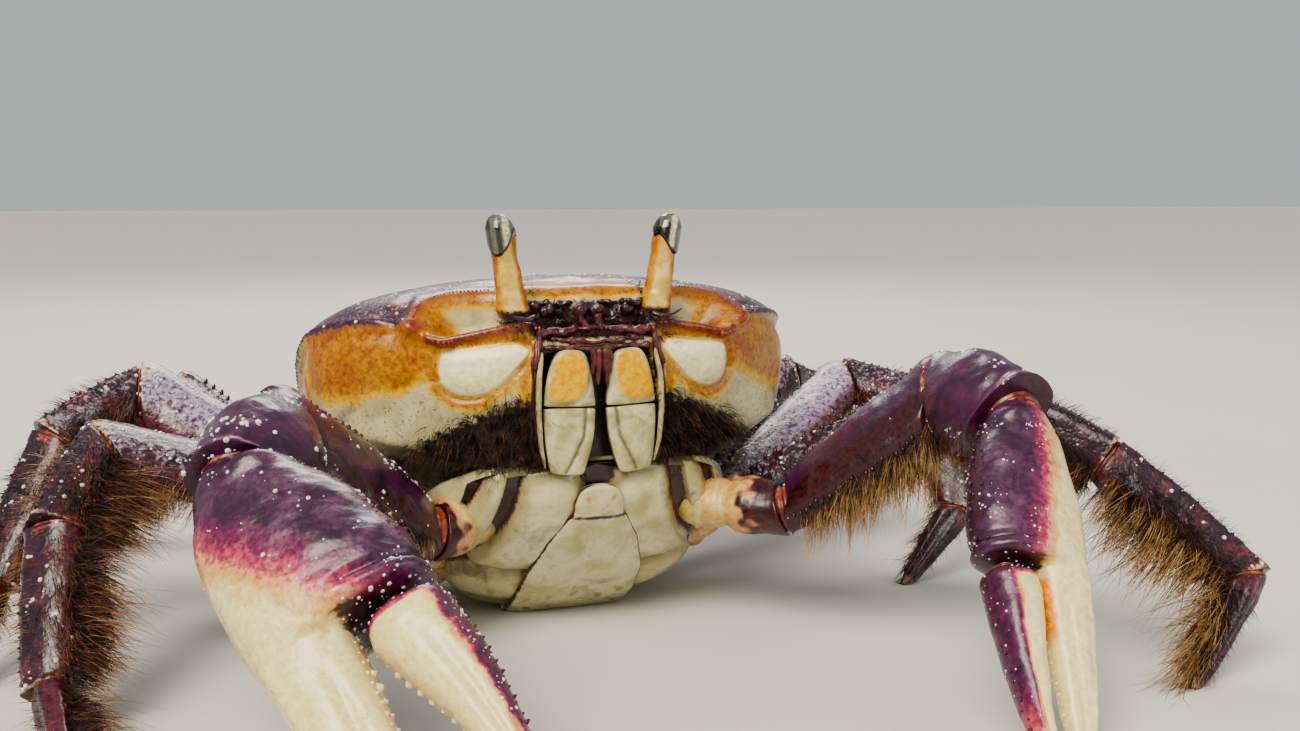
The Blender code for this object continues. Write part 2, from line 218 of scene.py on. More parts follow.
def smoothed(line, rounds):
    """Evens out a line of values or points, whose ends stay."""
    for _ in range(rounds):
        line[1:-1] = (line[:-2] + 2 * line[1:-1] + line[2:]) / 4
    return line


def ripple(points, wave, seed, layers=5):
    """A smooth uneven field from -1 to 1, with lumps about `wave` mm across."""
    dice = np.random.default_rng(seed)
    total = np.zeros(np.shape(points)[:-1])
    for _ in range(layers):
        way = dice.normal(size=3)
        way *= 2 * math.pi / wave / np.linalg.norm(way) * dice.uniform(0.7, 1.5)
        total += np.sin(points @ way + dice.uniform(0, 6.3))
    return total / layers ** 0.5 / 1.4


def lofted(name, rings):
    """Skins rings (rows, corners, 3) into a smooth closed body with a pole at each end."""
    rows, count, _ = rings.shape
    points = np.vstack([rings.reshape(-1, 3), rings[[0, -1]].mean(1)])

    def faced(*corners, pole=None):
        """Faces from the row and column of their corners, and their places on the unwrap."""
        spots = [np.stack(np.broadcast_arrays(*corner), -1) for corner in corners]
        spots = np.stack(spots, -2).reshape(-1, len(corners), 2)
        faces = (spots[..., 0] * count + spots[..., 1] % count).astype(int)
        if pole:
            faces[:, 0] = pole
        return faces, (spots[..., ::-1] + (0, 0.5)) / (count, rows)

    i, j = np.meshgrid(np.arange(rows - 1), np.arange(count), indexing="ij")
    sets = [faced((i, j), (i, j + 1), (i + 1, j + 1), (i + 1, j)),
            faced((-0.5, j[0] + 0.5), (0, j[0] + 1), (0, j[0]), pole=rows * count),
            faced((rows - 0.5, j[0] + 0.5), (rows - 1, j[0]), (rows - 1, j[0] + 1),
                  pole=rows * count + 1)]
    corners = points[sets[0][0]] - points.mean(0)
    outward = np.cross(corners[:, 2] - corners[:, 0], corners[:, 3] - corners[:, 1])
    if (outward * corners.mean(1)).sum() < 0:
        sets = [(faces[:, ::-1], places[:, ::-1]) for faces, places in sets]
    mesh = bpy.data.meshes.new(name)
    mesh.from_pydata(points * MM, [], [face for faces, _ in sets for face in faces.tolist()])
    places = np.concatenate([places.reshape(-1, 2) for _, places in sets])
    mesh.uv_layers.new(name="unwrap").uv.foreach_set("vector", places.astype(np.float32).ravel())
    mesh.shade_smooth()
    return placed(name, mesh)


def paint(obj, **masks):
    """Keeps named values on a lofted body's points; the two poles take the mean of their ring.

    A mask that a finish reads and a body doesn't carry reads nought there."""
    for name, values in masks.items():
        values = np.asarray(values, float)
        kind, field = ("FLOAT_VECTOR", "vector") if values.ndim == 3 else ("FLOAT", "value")
        flat = np.concatenate([values.ravel(), values[0].mean(0).ravel(), values[-1].mean(0).ravel()])
        data = obj.data.attributes.new(name, kind, "POINT").data
        data.foreach_set(field, flat.astype(np.float32))


def held_back(rings, joint, outward, gap, soft):
    """Presses all that lies beyond a plane back on to it, with a rounded edge."""
    past = (rings - joint) @ outward + gap
    kept = -soft * np.logaddexp(0, -past / soft)
    return rings + (kept - past)[..., None] * outward


def floored(rings, soft=0.12):
    """Presses a foot flat on the floor."""
    high = rings[..., 2]
    rings = rings.copy()
    rings[..., 2] = soft * np.logaddexp(0, high / soft) - soft * math.log(2) * hump(high, 0, soft)
    rings[..., 2] = np.where(high < -soft, 0.0, rings[..., 2])
    return rings


print("step halfway:", float(step(0.5, 0, 1)), " ripple:", ripple(np.ones((1, 3)), 5, 1).round(2))

# %% Outlines, and distances from them
def walked(line):
    """The distance walked along a line of points, at each of them."""
    return np.concatenate([[0], np.cumsum(np.linalg.norm(np.diff(line, axis=0), axis=1))])


def off_line(places, line):
    """How far each place lies from an open line of points."""
    best = np.full(places.shape[:-1], 1e9)
    corners = np.asarray(line, float)
    for p, q in zip(corners, corners[1:]):
        way = q - p
        part = np.clip(((places - p) @ way) / (way @ way), 0, 1)
        best = np.minimum(best, np.linalg.norm(places - p - part[..., None] * way, axis=-1))
    return best


def inside(places, outline):
    """How far each 2-D place lies inside a closed outline; outside it is below zero."""
    odd = np.zeros(places.shape[:-1], bool)
    corners = np.vstack([outline, outline[:1]])
    for p, q in zip(corners, corners[1:]):
        crosses = (p[1] > places[..., 1]) != (q[1] > places[..., 1])
        rise = q[1] - p[1] if abs(q[1] - p[1]) > 1e-9 else 1e-9
        odd ^= crosses & (places[..., 0] < p[0] + (places[..., 1] - p[1]) / rise * (q[0] - p[0]))
    return np.where(odd, 1, -1) * off_line(places, corners)


def rounded(outline, rounds=3):
    """Cuts the corners off a closed outline again and again, which rounds it."""
    line = np.asarray(outline, float)
    for _ in range(rounds):
        after = np.roll(line, -1, 0)
        line = np.stack([0.75 * line + 0.25 * after, 0.25 * line + 0.75 * after], 1)
        line = line.reshape(-1, line.shape[-1])
    return line


print("corners of a rounded triangle:", len(rounded(((0, 0), (1, 0), (0, 1)))))

# %% [markdown]
# ## Cuticle
#
# A crab's shell is cuticle: chitin and protein hardened with chalk, under a thin waxy skin. It has
# no grain, but its pigment lies in clouds and freckles, and worn knobs show pale chalk. The eye
# reads it as slightly translucent china with an uneven satin gloss. One recipe serves for every
# part of the animal. It lays pigments one over the other, each where the mesh's own mask says,
# with an edge frayed as pigment cells fray it. Clouds are 3 to 6 mm across, freckles about 0.5 mm,
# and the bump is low pimples 0.4 mm apart.

# %% The recipe for a cuticle finish
WAX = {"Coat Roughness": 0.2, "Coat IOR": 1.45}


def cuticle(name, ground, layers, depth, rough=(0.26, 0.46), pimple=0.5, wave=1.6, coat=0.4,
            flesh=0.1, cloud=5.0, **sockets):
    """A ground of two pigments in clouds, layers over it, an uneven gloss and a bump.

    A layer is (mask, colour, other colour, where it starts, where it is full, how much its edge
    frays, the pattern that frays it, how much it covers)."""
    finish = bpy.data.materials.new(name)
    finish.use_nodes = True
    tree = finish.node_tree
    shader = tree.nodes["Principled BSDF"]
    where = add(tree, "ShaderNodeTexCoord", None, "Object")
    pattern = {}
    for word, spacing, detail, warp in (("clouds", cloud, 4.0, 0.4), ("fine", 0.8, 5.0, 0.0),
                                        ("grain", 0.45, 2.0, 0.0)):
        lumps = add(tree, "ShaderNodeTexNoise",
                    {"Vector": where, "Scale": 1 / (spacing * MM), "Detail": detail,
                     "Roughness": 0.62, "Distortion": warp}, "Fac")
        pattern[word] = add(tree, "ShaderNodeMapRange",
                            {"Value": lumps, "From Min": 0.32, "From Max": 0.68}, 0,
                            interpolation_type="SMOOTHSTEP")
    colour = add(tree, "ShaderNodeMix", {0: pattern["clouds"], 6: linear(ground[0]),
                                         7: linear(ground[1])}, 2, data_type="RGBA")
    for mask, low, high, start, full, ragged, word, most in layers:
        carried = add(tree, "ShaderNodeAttribute", None, "Fac", attribute_name=mask)
        frayed = add(tree, "ShaderNodeMath", {0: pattern[word], 1: ragged, 2: carried}, 0,
                     operation="MULTIPLY_ADD")
        cover = add(tree, "ShaderNodeMapRange",
                    {"Value": frayed, "From Min": start + ragged / 2, "From Max": full + ragged / 2,
                     "To Max": most}, 0, interpolation_type="SMOOTHSTEP")
        tint = add(tree, "ShaderNodeMix", {0: pattern["fine"], 6: linear(low), 7: linear(high)}, 2,
                   data_type="RGBA")
        colour = add(tree, "ShaderNodeMix", {0: cover, 6: colour, 7: tint}, 2, data_type="RGBA")
    gloss = add(tree, "ShaderNodeMapRange", {"Value": pattern["fine"], "To Min": rough[0],
                                             "To Max": rough[1]}, 0)
    cells = add(tree, "ShaderNodeTexVoronoi", {"Vector": where, "Scale": 1 / (pimple * MM)},
                "Distance", feature="SMOOTH_F1")
    waves = add(tree, "ShaderNodeTexNoise", {"Vector": where, "Scale": 1 / (wave * MM), "Detail": 4.0}, "Fac")
    lift = add(tree, "ShaderNodeMath", {0: cells, 1: -0.55, 2: waves}, 0, operation="MULTIPLY_ADD")
    bump = add(tree, "ShaderNodeBump", {"Height": lift, "Strength": 1.0, "Distance": depth * MM}, 0)
    for socket, value in (("Base Color", colour), ("Roughness", gloss), ("Normal", bump)):
        tree.links.new(value, shader.inputs[socket])
    shader.inputs["Subsurface Radius"].default_value = (1.0, 0.5, 0.25)
    for socket, value in {"Subsurface Weight": flesh, "Subsurface Scale": 0.8 * MM,
                          "Coat Weight": coat, **WAX, **sockets}.items():
        shader.inputs[socket].default_value = value
    return finish


print("waxy coat:", WAX)

# %% [markdown]
# ### The back and face of the carapace
#
# On the face the cuticle is thin and young: cream, painted greyer as shade in its grooves, round
# the mats and low down, glowing orange under the side ridge, ivory on the plate under each eye. On
# the back it is old and thick, violet and maroon, freckled with worn chalk. The mesh says where each
# pigment, and each painted shade, lies.

# %% Carapace finish
CARAPACE = cuticle("hardened_cuticle_of_the_carapace", ("ACA274", "D8CE9E"), (
    ("shade", "5E6252", "8C8D76", 0.10, 1.0, 0.6, "clouds", 0.8),
    ("orange", "C49414", "D8B23C", 0.06, 0.42, 0.30, "clouds", 1.0),
    ("orange", "8E5200", "C08200", 0.34, 0.80, 0.30, "clouds", 1.0),
    ("orange", "7A3600", "A85400", 0.92, 1.25, 0.5, "clouds", 0.85),
    ("ivory", "E8DA9C", "FAF2CC", 0.2, 0.8, 0.15, "clouds", 1.0),
    ("rust", "5E1E06", "9C4A0C", 0.3, 0.8, 0.5, "fine", 1.0),
    ("violet", "260C1E", "502A44", 0.35, 0.65, 0.6, "fine", 1.0),
    ("violet", "4A1620", "74303A", 0.95, 1.35, 1.0, "clouds", 0.8),
    ("violet", "9A849C", "DCD0D8", 1.42, 1.80, 1.4, "grain", 0.7),
    ("wine", "12060C", "4E1C28", 0.3, 0.8, 0.3, "fine", 1.0),
    ("freckle", "5A3420", "7B4A2C", 1.76, 1.92, 2.0, "grain", 0.6),
    # Painted shade, for hollows and joints.
    ("soil", "0E0806", "26160E", 0.25, 0.8, 0.4, "fine", 0.97),
), depth=0.08, wave=2.4)
print(CARAPACE.name, len(CARAPACE.node_tree.nodes), "nodes")

# %% [markdown]
# ## The carapace
#
# The carapace is one domed plate with no seam, so it is made as one skin. A formula says what is
# inside it: an oval dome above a side margin, a deeper hull below, cut off by the upright face and
# the tail. Rays go out from its heart to find the skin, closer together over the face. Relief is
# added along the same rays: the eye hollows with their lips, the swollen plate under each eye, the
# side ridge, the mouth's frame and the grooves of the back.

# %% The body's own frame, tipped nose-up
RUN, RISE = math.cos(math.radians(40)), math.sin(math.radians(40))
NOSE_UP = np.array(((1, 0, 0), (0, RUN, -RISE), (0, RISE, RUN)))
BODY_AT = np.array([0.0, -8.0, 36.5])
HEART = np.array([0.0, 4.0, -3.0])
# The plane between the shell and the breast, in the body's frame.
LID_AT, LID_SLOPE = (-11.6, -22.5), 0.257


def turned(vectors):
    """Body-frame directions, y from mouth to tail and z from belly to back, in the world's frame."""
    return np.asarray(vectors, float) @ NOSE_UP


def to_world(points):
    return turned(points) + BODY_AT


def to_body(points):
    return (points - BODY_AT) @ NOSE_UP.T


def margin_height(y):
    return 6.0 - 0.022 * np.minimum(y, 0) ** 2 - 0.002 * np.maximum(y, 0) ** 2


def shell_field(points):
    """Below zero inside the shell: a domed hull, an upright face and a cut tail."""
    x, y, z = np.moveaxis(points, -1, 0)
    half_width, fore, aft, dome, keel, power = 39.8, 23.5, 41.0, 10.6, 35.0, 2.15
    run = np.where(y < 0, fore, aft)
    spread = (np.abs(x / half_width) ** power + np.abs(y / run) ** power) ** (1 / power)
    rise = z - margin_height(y)
    lift = np.where(rise > 0, rise / dome, rise / keel)
    hull = (np.sqrt(spread ** 2 + lift ** 2) - 1) * 25
    face = -24.0 + 0.0112 * x ** 2 - (y * RUN + z * RISE)
    soft = 1.1
    return soft * np.logaddexp.reduce(np.stack([hull, face, y - 37.0]) / soft)


print("heart of the shell, mm:", np.round(to_world(HEART), 1))

# %% Rays from the heart to the skin
TURNS, ROWS = 370, 176
# Directions ringed about straight ahead (-Y), closer together near the face.
part = (np.arange(ROWS) + 0.5) / ROWS
polar, turn = np.meshgrid(math.pi * (0.52 * part + 0.48 * part ** 2), around(TURNS), indexing="ij")
rays = np.stack([np.sin(polar) * np.sin(turn), -np.cos(polar), np.sin(polar) * np.cos(turn)], -1)
start = to_world(HEART)
low = np.zeros(rays.shape[:-1])
high = np.full(rays.shape[:-1], 70.0)
for _ in range(32):
    middle = (low + high) / 2
    within = shell_field(to_body(start + rays * middle[..., None])) < 0
    low = np.where(within, middle, low)
    high = np.where(within, high, middle)
skin_at = start + rays * low[..., None]
slope = unit(np.stack([shell_field(to_body(skin_at + nudge)) - shell_field(to_body(skin_at - nudge))
                       for nudge in np.eye(3) * 0.05], -1))
print("shell spans, mm:", np.round(np.ptp(skin_at.reshape(-1, 3), axis=0), 1))

# %% [markdown]
# ### Landmarks of the face
#
# The two halves of a crab's face mirror each other, so landmarks are given once. Distances from
# these lines and outlines give both the relief and the pigment masks, so an orange border always
# lies on the lip that carries it.

# %% Landmarks, as (distance from the middle, height over the floor)
ORBIT = rounded(((9.6, 47.7), (15.4, 46.9), (21.6, 45.5), (24.4, 46.0), (25.0, 48.4), (23.4, 50.3),
                 (19.0, 51.2), (13.5, 51.5), (9.3, 50.9)), 2)
UPPER_RIM = ((9.2, 51.5), (13.5, 51.9), (19.0, 51.6), (23.4, 50.7), (25.4, 48.6), (24.9, 46.2))
LOWER_RIM = ((8.6, 46.9), (12.0, 46.9), (15.5, 46.3), (19.0, 45.5), (21.8, 44.8), (23.4, 45.2))
EYE_PLATE = rounded(((10.3, 44.4), (16.0, 43.8), (21.4, 43.1), (22.0, 42.6), (22.2, 39.6),
                     (20.6, 38.0), (18.6, 37.6), (15.6, 38.6), (12.2, 41.6)), 1)
MOUTH = ((-1.0, 24.0), (9.2, 24.0), (9.5, 31.0), (9.4, 38.0), (8.6, 43.9), (-1.0, 43.9))
MAT = rounded(((8.6, 36.8), (12.4, 36.2), (18.4, 33.6), (23.6, 31.2), (27.6, 27.0), (27.0, 18.0),
               (8.6, 18.0)), 2)
CHEEK = ((9.6, 30.0), (9.6, 43.6), (11.6, 42.5), (15.6, 37.0))
SIDE_SEAM = ((22.8, 39.9), (26.5, 38.6), (31.0, 37.4), (35.0, 34.0), (36.5, 29.5))
BACK_GROOVE = ((5.2, -10.0), (6.4, -3.0), (9.0, 3.0), (7.4, 9.0), (7.8, 15.0), (11.5, 21.0), (16.5, 28.0))
NECK_GROOVE = ((9.0, 3.0), (14.0, -2.5), (21.0, -6.0), (27.0, -6.5))

far_out = np.abs(skin_at[..., 0])
height = skin_at[..., 2]
face = np.stack([far_out, height], -1)
frontal = step(-slope[..., 1], 0.05, 0.35) * step(-skin_at[..., 1], 4, 9)
body = to_body(skin_at)
above_margin = body[..., 2] - margin_height(body[..., 1]) - 0.5
brow = np.interp(far_out, (0, 9, 14, 20, 24.3, 26.0), (51.4, 51.7, 51.9, 51.4, 50.4, 48.6))
between_sides = step(far_out, 26.6, 25.2)
over = np.where(frontal > 0.02,
                between_sides * (height - brow) + (1 - between_sides) * above_margin, above_margin)
over = np.where((height > brow + 1.5) & (skin_at[..., 1] > -20), np.maximum(over, above_margin), over)
top = np.stack([far_out, body[..., 1]], -1)
upward = step(slope @ turned((0, 0, 1)), 0.55, 0.85)
print("points on the face:", int((frontal > 0.5).sum()), " on the back:", int((upward > 0.5).sum()))

# %% Relief, in millimetres out along the rays
def off_spot(x, z, wide=1.0):
    """Distance on the face from a spot, which may be wider than it is tall."""
    return np.hypot((far_out - x) / wide, height - z)


orbit, plate, mouth, mat = [inside(face, line) for line in (ORBIT, EYE_PLATE, MOUTH, MAT)]
lip_up, lip_low, seam = [off_line(face, line) for line in (UPPER_RIM, LOWER_RIM, SIDE_SEAM)]
pit = hump(off_spot(3.5, 49.0, 1.35), 0, 1.35)
relief = frontal * (
    0.55 * hump(lip_up, 0, 0.6) + 0.95 * hump(lip_low, 0.1, 0.7) - 5.2 * step(orbit, -0.2, 2.2)
    + 0.75 * step(plate, -0.9, 1.6) - 0.45 * hump(plate, -1.0, 0.45)
    + 0.4 * hump(mouth, -0.7, 0.5) - 3.0 * step(mouth, -0.2, 0.7)
    - 1.4 * hump(height, 48.7, 2.0) * step(far_out, 10.0, 7.5) - 1.6 * pit
    + 1.5 * hump(skin_at[..., 1], -22.0, 3.6) * (height > 45) * step(far_out, 10, 8.2)
    + 1.6 * hump(off_spot(25.9, 46.6), 0, 1.3) - 1.0 * hump(off_spot(28.2, 47.9), 0, 1.0)
    - 0.28 * hump(seam, 0, 0.4) - 0.6 * step(mat, 0, 2.0) + 0.5 * step(inside(face, CHEEK), -1.5, 0.8))
side_lip = step(far_out, 25.5, 28.0) * step(body[..., 1], 26, 14)
groove, neck = off_line(top, BACK_GROOVE), off_line(top, NECK_GROOVE)
relief += side_lip * (0.75 * hump(above_margin, 0.1, 0.7) - 0.45 * hump(above_margin, -2.0, 1.3))
relief += upward * (
    0.55 * hump(np.hypot((far_out - 20) / 1.5, body[..., 1] - 8), 0, 9.0)
    - 0.85 * hump(groove, 0, 1.0) - 0.5 * hump(neck, 0, 0.9)
    - 0.45 * hump(body[..., 1], 8.0, 0.8) * step(far_out, 8, 5))
relief += 0.5 * hump(body[..., 1], 35.6, 0.8) * step(above_margin, -6, 0)
relief += 0.16 * ripple(skin_at, 9.0, 3) + 0.06 * ripple(skin_at, 2.6, 4)
shell = skin_at + rays * relief[..., None]
for hand in (-1, 0, 1) * 2:
    normal = unit(turned((-hand * 0.5, -LID_SLOPE, 1.0)))
    shell = held_back(shell, to_world((hand * 16.0, *LID_AT)), -normal, GAP / 2, 0.35)
print("relief from", round(float(relief.min()), 1), "to", round(float(relief.max()), 1), "mm")

# %% Pigment masks and the carapace itself
down = height - np.interp(far_out, (20, 23.5, 28, 33, 39), (43.0, 40.5, 37.6, 36.0, 35.4))
patch = hump(np.hypot((far_out - 10.9 - 0.1 * (height - 40)) / 1.5, (height - 39.6) / 4.2), 0, 1.0)
glow = frontal * np.maximum.reduce([
    step(down, -2.6, 3.4) * step(far_out, 21.5, 24.5),
    0.95 * hump(lip_low, 0, 1.0) * step(far_out, 9, 12),
    step(orbit, 1.1, 0.2) * step(orbit, -0.9, -0.2) * step(far_out, 12, 15),
    0.9 * step(orbit, 0, 0.5) * step(far_out, 20.0, 24.0), 0.75 * hump(plate, -1.6, 0.9),
    0.85 * patch])
behind = 0.85 * step(over, 0.0, -1.2) * (1 - frontal) * step(body[..., 2], -12, 0)
reach = 1.6 * ripple(skin_at, 3.0, 12)
band = step(far_out + 0.5 * reach, 11.2, 8.0) * step(height, 50.3, 50.9)
band = band * step(reach - skin_at[..., 1], 10.5, 18)
violet = np.maximum(step(over, -0.25, 0.45) * (1 - 0.95 * band), side_lip * hump(above_margin, 0.1, 0.6))
rust = frontal * np.maximum.reduce([
    hump(lip_up, 0, 0.7), 1.2 * hump(lip_low, 0.1, 0.75), 0.55 * hump(plate, -1.1, 0.35)])
# Dark wine skin between the eyes and round each stalk's base, and painted shade high inside each eye hollow.
wine = frontal * np.maximum.reduce([
    step(far_out, 11.0, 8.5) * step(height, 44.5, 46.0) * step(height, 50.7, 49.9),
    0.95 * hump(off_spot(11.3, 49.3), 0, 3.0), 0.55 * step(orbit, 0.6, 1.8) * step(height, 49.2, 50.6)])
# Painted shade: dark in the mouth's opening, under the mats, in the feelers' pits and low on the front of the
# shell.
soil = np.maximum.reduce([
    step(mouth, -0.2, 0.3) * frontal, step(mat + 0.8 * ripple(shell, 2.0, 9), -1.2, 1.4) * frontal,
    pit * frontal, 0.8 * step(height, 27.0, 22.0) * step(-skin_at[..., 1], 0, 20)])
# Painted shade: greyer in the side seam, low on the shell, round the mats and in the back's grooves.
grey = hump(seam, 0, 0.8) * frontal + 0.6 * step(height, 31, 25) + 0.5 * hump(mat, -1.8, 1.4)
grey = grey + 0.75 * upward * np.maximum(hump(groove, 0, 0.7), hump(neck, 0, 0.6))
carapace = lofted("carapace_skin", shell)
paint(carapace, orange=np.maximum.reduce([glow, behind, band]), ivory=step(plate, -0.9, 0.0) * frontal,
      rust=rust, violet=violet, wine=wine, soil=soil, shade=np.clip(grey, 0, 1),
      freckle=step(height, 41.5, 37.0) * frontal * (far_out > 9),
      chalk=np.clip(violet * (1 - band) * (0.35 + 1.1 * ripple(shell, 7.0, 8)), 0, 2))
carapace.data.materials.append(CARAPACE)
print("highest point of the shell, mm:", round(float(shell[..., 2].max()), 1))

# %% [markdown]
# ## Finishes for the rest of the animal
#
# The belly has hardly any pigment: olive cream, glossy and stained by mud. The claws run from
# almost black violet through magenta and peach to ivory, so one mask, `fade`, is read five times
# at rising levels. The walking legs are dark violet with a lavender bloom, painted paler as a
# highlight where they face up, and wine below. A layer whose mask is `none` lies where its pattern
# alone says. The near-black last layer of each finish is painted shade, for hollows and joints.

# %% Belly, mouth, claw and leg finishes
BELLY = cuticle("pale_cuticle_of_the_belly", ("B4AA70", "E6DFB6"), (
    ("none", "8F864E", "A69C62", 0.14, 0.5, 1.0, "clouds", 0.5),
    ("none", "5E5834", "7A734A", 0.38, 0.52, 1.0, "clouds", 0.28),
    ("shade", "6A5E30", "887A44", 0.2, 0.9, 0.4, "clouds", 0.9),
    ("orange", "B45E14", "D8923E", 0.3, 0.85, 0.5, "fine", 1.0),
    # Painted shade, for hollows and joints.
    ("soil", "24080A", "481618", 0.3, 0.75, 0.3, "fine", 1.0),
), rough=(0.12, 0.28), pimple=0.7, depth=0.05, wave=2.6, cloud=6.0, flesh=0.15, coat=0.7)
MOUTH_PLATE = cuticle("ivory_cuticle_of_the_mouth_plates", ("A39A66", "D6CD9E"), (
    ("orange", "D09200", "F2BC08", 0.35, 0.8, 0.25, "clouds", 1.0),
    ("shade", "4A4234", "6A604C", 0.2, 0.9, 0.3, "fine", 0.9),
    # Painted shade, for hollows and joints.
    ("soil", "180A0E", "341A20", 0.3, 0.8, 0.3, "fine", 1.0),
), depth=0.07, cloud=3.0, flesh=0.12)
CLAW = cuticle("two_toned_cuticle_of_the_claws", ("2C0C26", "4C1C40"), (
    # A lavender bloom, painted paler as a highlight where a piece faces up.
    ("bloom", "5C3A54", "8C6480", 0.6, 1.25, 0.7, "clouds", 0.35),
    ("fade", "5A163C", "761F4E", 0.14, 0.32, 0.16, "fine", 1.0),
    ("fade", "96284A", "B84C5E", 0.32, 0.47, 0.10, "fine", 1.0),
    ("fade", "C8805A", "DAA070", 0.47, 0.60, 0.10, "fine", 1.0),
    ("fade", "C09C4C", "D4B66C", 0.56, 0.70, 0.12, "clouds", 1.0),
    ("fade", "D8C688", "EADCA4", 0.66, 0.84, 0.2, "clouds", 1.0),
    ("wine", "1C0408", "480A14", 0.3, 0.8, 0.3, "clouds", 1.0),
    ("orange", "C0640A", "EDA032", 0.3, 0.8, 0.3, "fine", 1.0),
    # Painted shade, for hollows and joints.
    ("soil", "14080C", "3A1A18", 0.3, 0.8, 0.3, "fine", 1.0),
), rough=(0.26, 0.42), depth=0.08, wave=2.0, cloud=4.5, coat=0.5, **{"Coat Roughness": 0.3})
LEG = cuticle("violet_cuticle_of_the_walking_legs", ("200A18", "3A142A"), (
    ("none", "4A141C", "6E2A30", 0.1, 0.5, 1.0, "clouds", 0.7),
    # A lavender bloom, painted paler as a highlight where a piece faces up.
    ("bloom", "7E6682", "C2B2C4", 0.35, 1.05, 0.7, "fine", 0.9),
    ("wine", "380C14", "661E26", 0.2, 0.9, 0.5, "fine", 0.9),
    ("pale", "C08E58", "E2C492", 0.3, 0.8, 0.4, "fine", 1.0),
    ("horn", "4E361A", "96743E", 0.3, 0.8, 0.3, "fine", 1.0),
    # Painted shade, for hollows and joints.
    ("soil", "0E060A", "24121A", 0.3, 0.8, 0.3, "fine", 1.0),
), pimple=0.45, depth=0.16, cloud=3.8, flesh=0.0, coat=0.45)
print("nodes:", [len(f.node_tree.nodes) for f in (BELLY, MOUTH_PLATE, CLAW, LEG)])

# %% [markdown]
# ### Soft skin, horn, eyes and bristles
#
# Between the plates lies arthrodial membrane, thin wet skin, peach to blood orange. The cornea is
# clear cuticle over a dark eye, smooth as glass, with facets 0.03 mm wide that are drawn at 0.09
# mm to show at all. Granules are worn chalk, matt and white. A bristle (seta) is a hollow hair of
# cuticle, brown-black at the root and bleached to gold at the tip, so its finish reads how far
# along the hair a point is, and a hue that each hair was given.

# %% Membrane, granule, eye and bristle finishes
MEMBRANE = cuticle("joint_membrane_wet_skin", ("561810", "944628"), (
    ("none", "A8683C", "C8905C", 0.24, 0.5, 1.0, "clouds", 0.55),), depth=0.12, cloud=1.6, flesh=0.3)
CHALK = cuticle("worn_chalk_granules", ("C9BCC4", "F2ECE6"), (), rough=(0.5, 0.65), pimple=0.3,
                depth=0.03, cloud=2.2, flesh=0.3, coat=0.1)
HORN = cuticle("dark_horny_spines", ("120810", "4E2028"), (), pimple=0.3, depth=0.03, cloud=1.4, flesh=0)
IVORY_TEETH = cuticle("worn_ivory_teeth", ("D9C696", "F0E6C8"), (), pimple=0.3, depth=0.03, cloud=1.8)
AMBER_BEADS = cuticle("red_brown_beads", ("642006", "B86210"), (), pimple=0.3, depth=0.03, cloud=1.0)
FLESH = cuticle("dark_wine_feeler_skin", ("10050A", "4A1A26"), (), pimple=0.4, depth=0.12, cloud=1.3)
REDWORK = cuticle("red_ridges_over_the_mouth", ("2C0A10", "743030"), (), pimple=0.4, depth=0.1, cloud=1.2)
STALK = cuticle("orange_skin_of_the_eyestalks", ("C8A440", "E8D084"), (
    ("orange", "B47400", "D89C0C", 0.28, 0.70, 0.4, "clouds", 1.0),
    ("orange", "8E4A00", "BC7000", 0.72, 1.05, 0.4, "clouds", 0.9),
    # Painted shade, for hollows and joints.
    ("soil", "200A12", "421A1E", 0.3, 0.8, 0.3, "fine", 1.0),
), depth=0.06, cloud=2.6, flesh=0.2)
CORNEA = cuticle("clear_cornea_over_a_dark_eye", ("3A4034", "70755F"), (
    ("shade", "0C0E0A", "1E221A", 0.2, 0.9, 0.2, "clouds", 0.95),
    # Painted reflection of a soft box.
    ("pale", "A8A27A", "E0D8AE", 0.3, 0.9, 0.3, "clouds", 0.95),
    ("stripe", "060705", "12120C", 0.2, 0.75, 0.2, "clouds", 1.0),
), rough=(0.04, 0.10), pimple=0.09, depth=0.008, cloud=1.6, coat=1.0, flesh=0.0,
    **{"Coat Roughness": 0.03})
STRANDS = {"brown_black_bristles": ("080304", "120606", "1C0A07", "301208", "46200F", "704626"),
           "russet_bristles": ("140606", "2C0F0A", "421709", "6E3214", "94582A", "C89A5C"),
           "golden_bristles": ("2A1208", "4E2C14", "7C5226", "AE8248", "BE9A5C", "E2CE9C")}
coats = [cuticle(name, tones[:2], (
    ("along", tones[2], tones[3], 0.05, 0.55, 0.6, "clouds", 1.0),
    ("along", tones[4], tones[5], 0.55, 1.10, 0.7, "clouds", 0.9),
    ("hue", tones[3], tones[5], 0.70, 1.0, 0.1, "fine", 0.5),
), rough=(0.34, 0.52), pimple=0.2, depth=0.01, cloud=3.0, flesh=0.0, coat=0.2)
    for name, tones in STRANDS.items()]
DARK_BRISTLE, RUSSET_BRISTLE, GOLD_BRISTLE = coats
print("finishes:", len(bpy.data.materials))

# %% [markdown]
# ## Small repeated things, grown with Geometry Nodes
#
# Three trees make nearly all the fine detail. *Granules* scatters low beads over a skin by its
# mask. *Studs* sets beads or spines at even steps along a path, leaning as its points say.
# *Bristles* grows tapered, bent hairs from a skin, combed along a direction that it carries. Each
# ends by realizing its instances, because other programs can read only plain mesh.

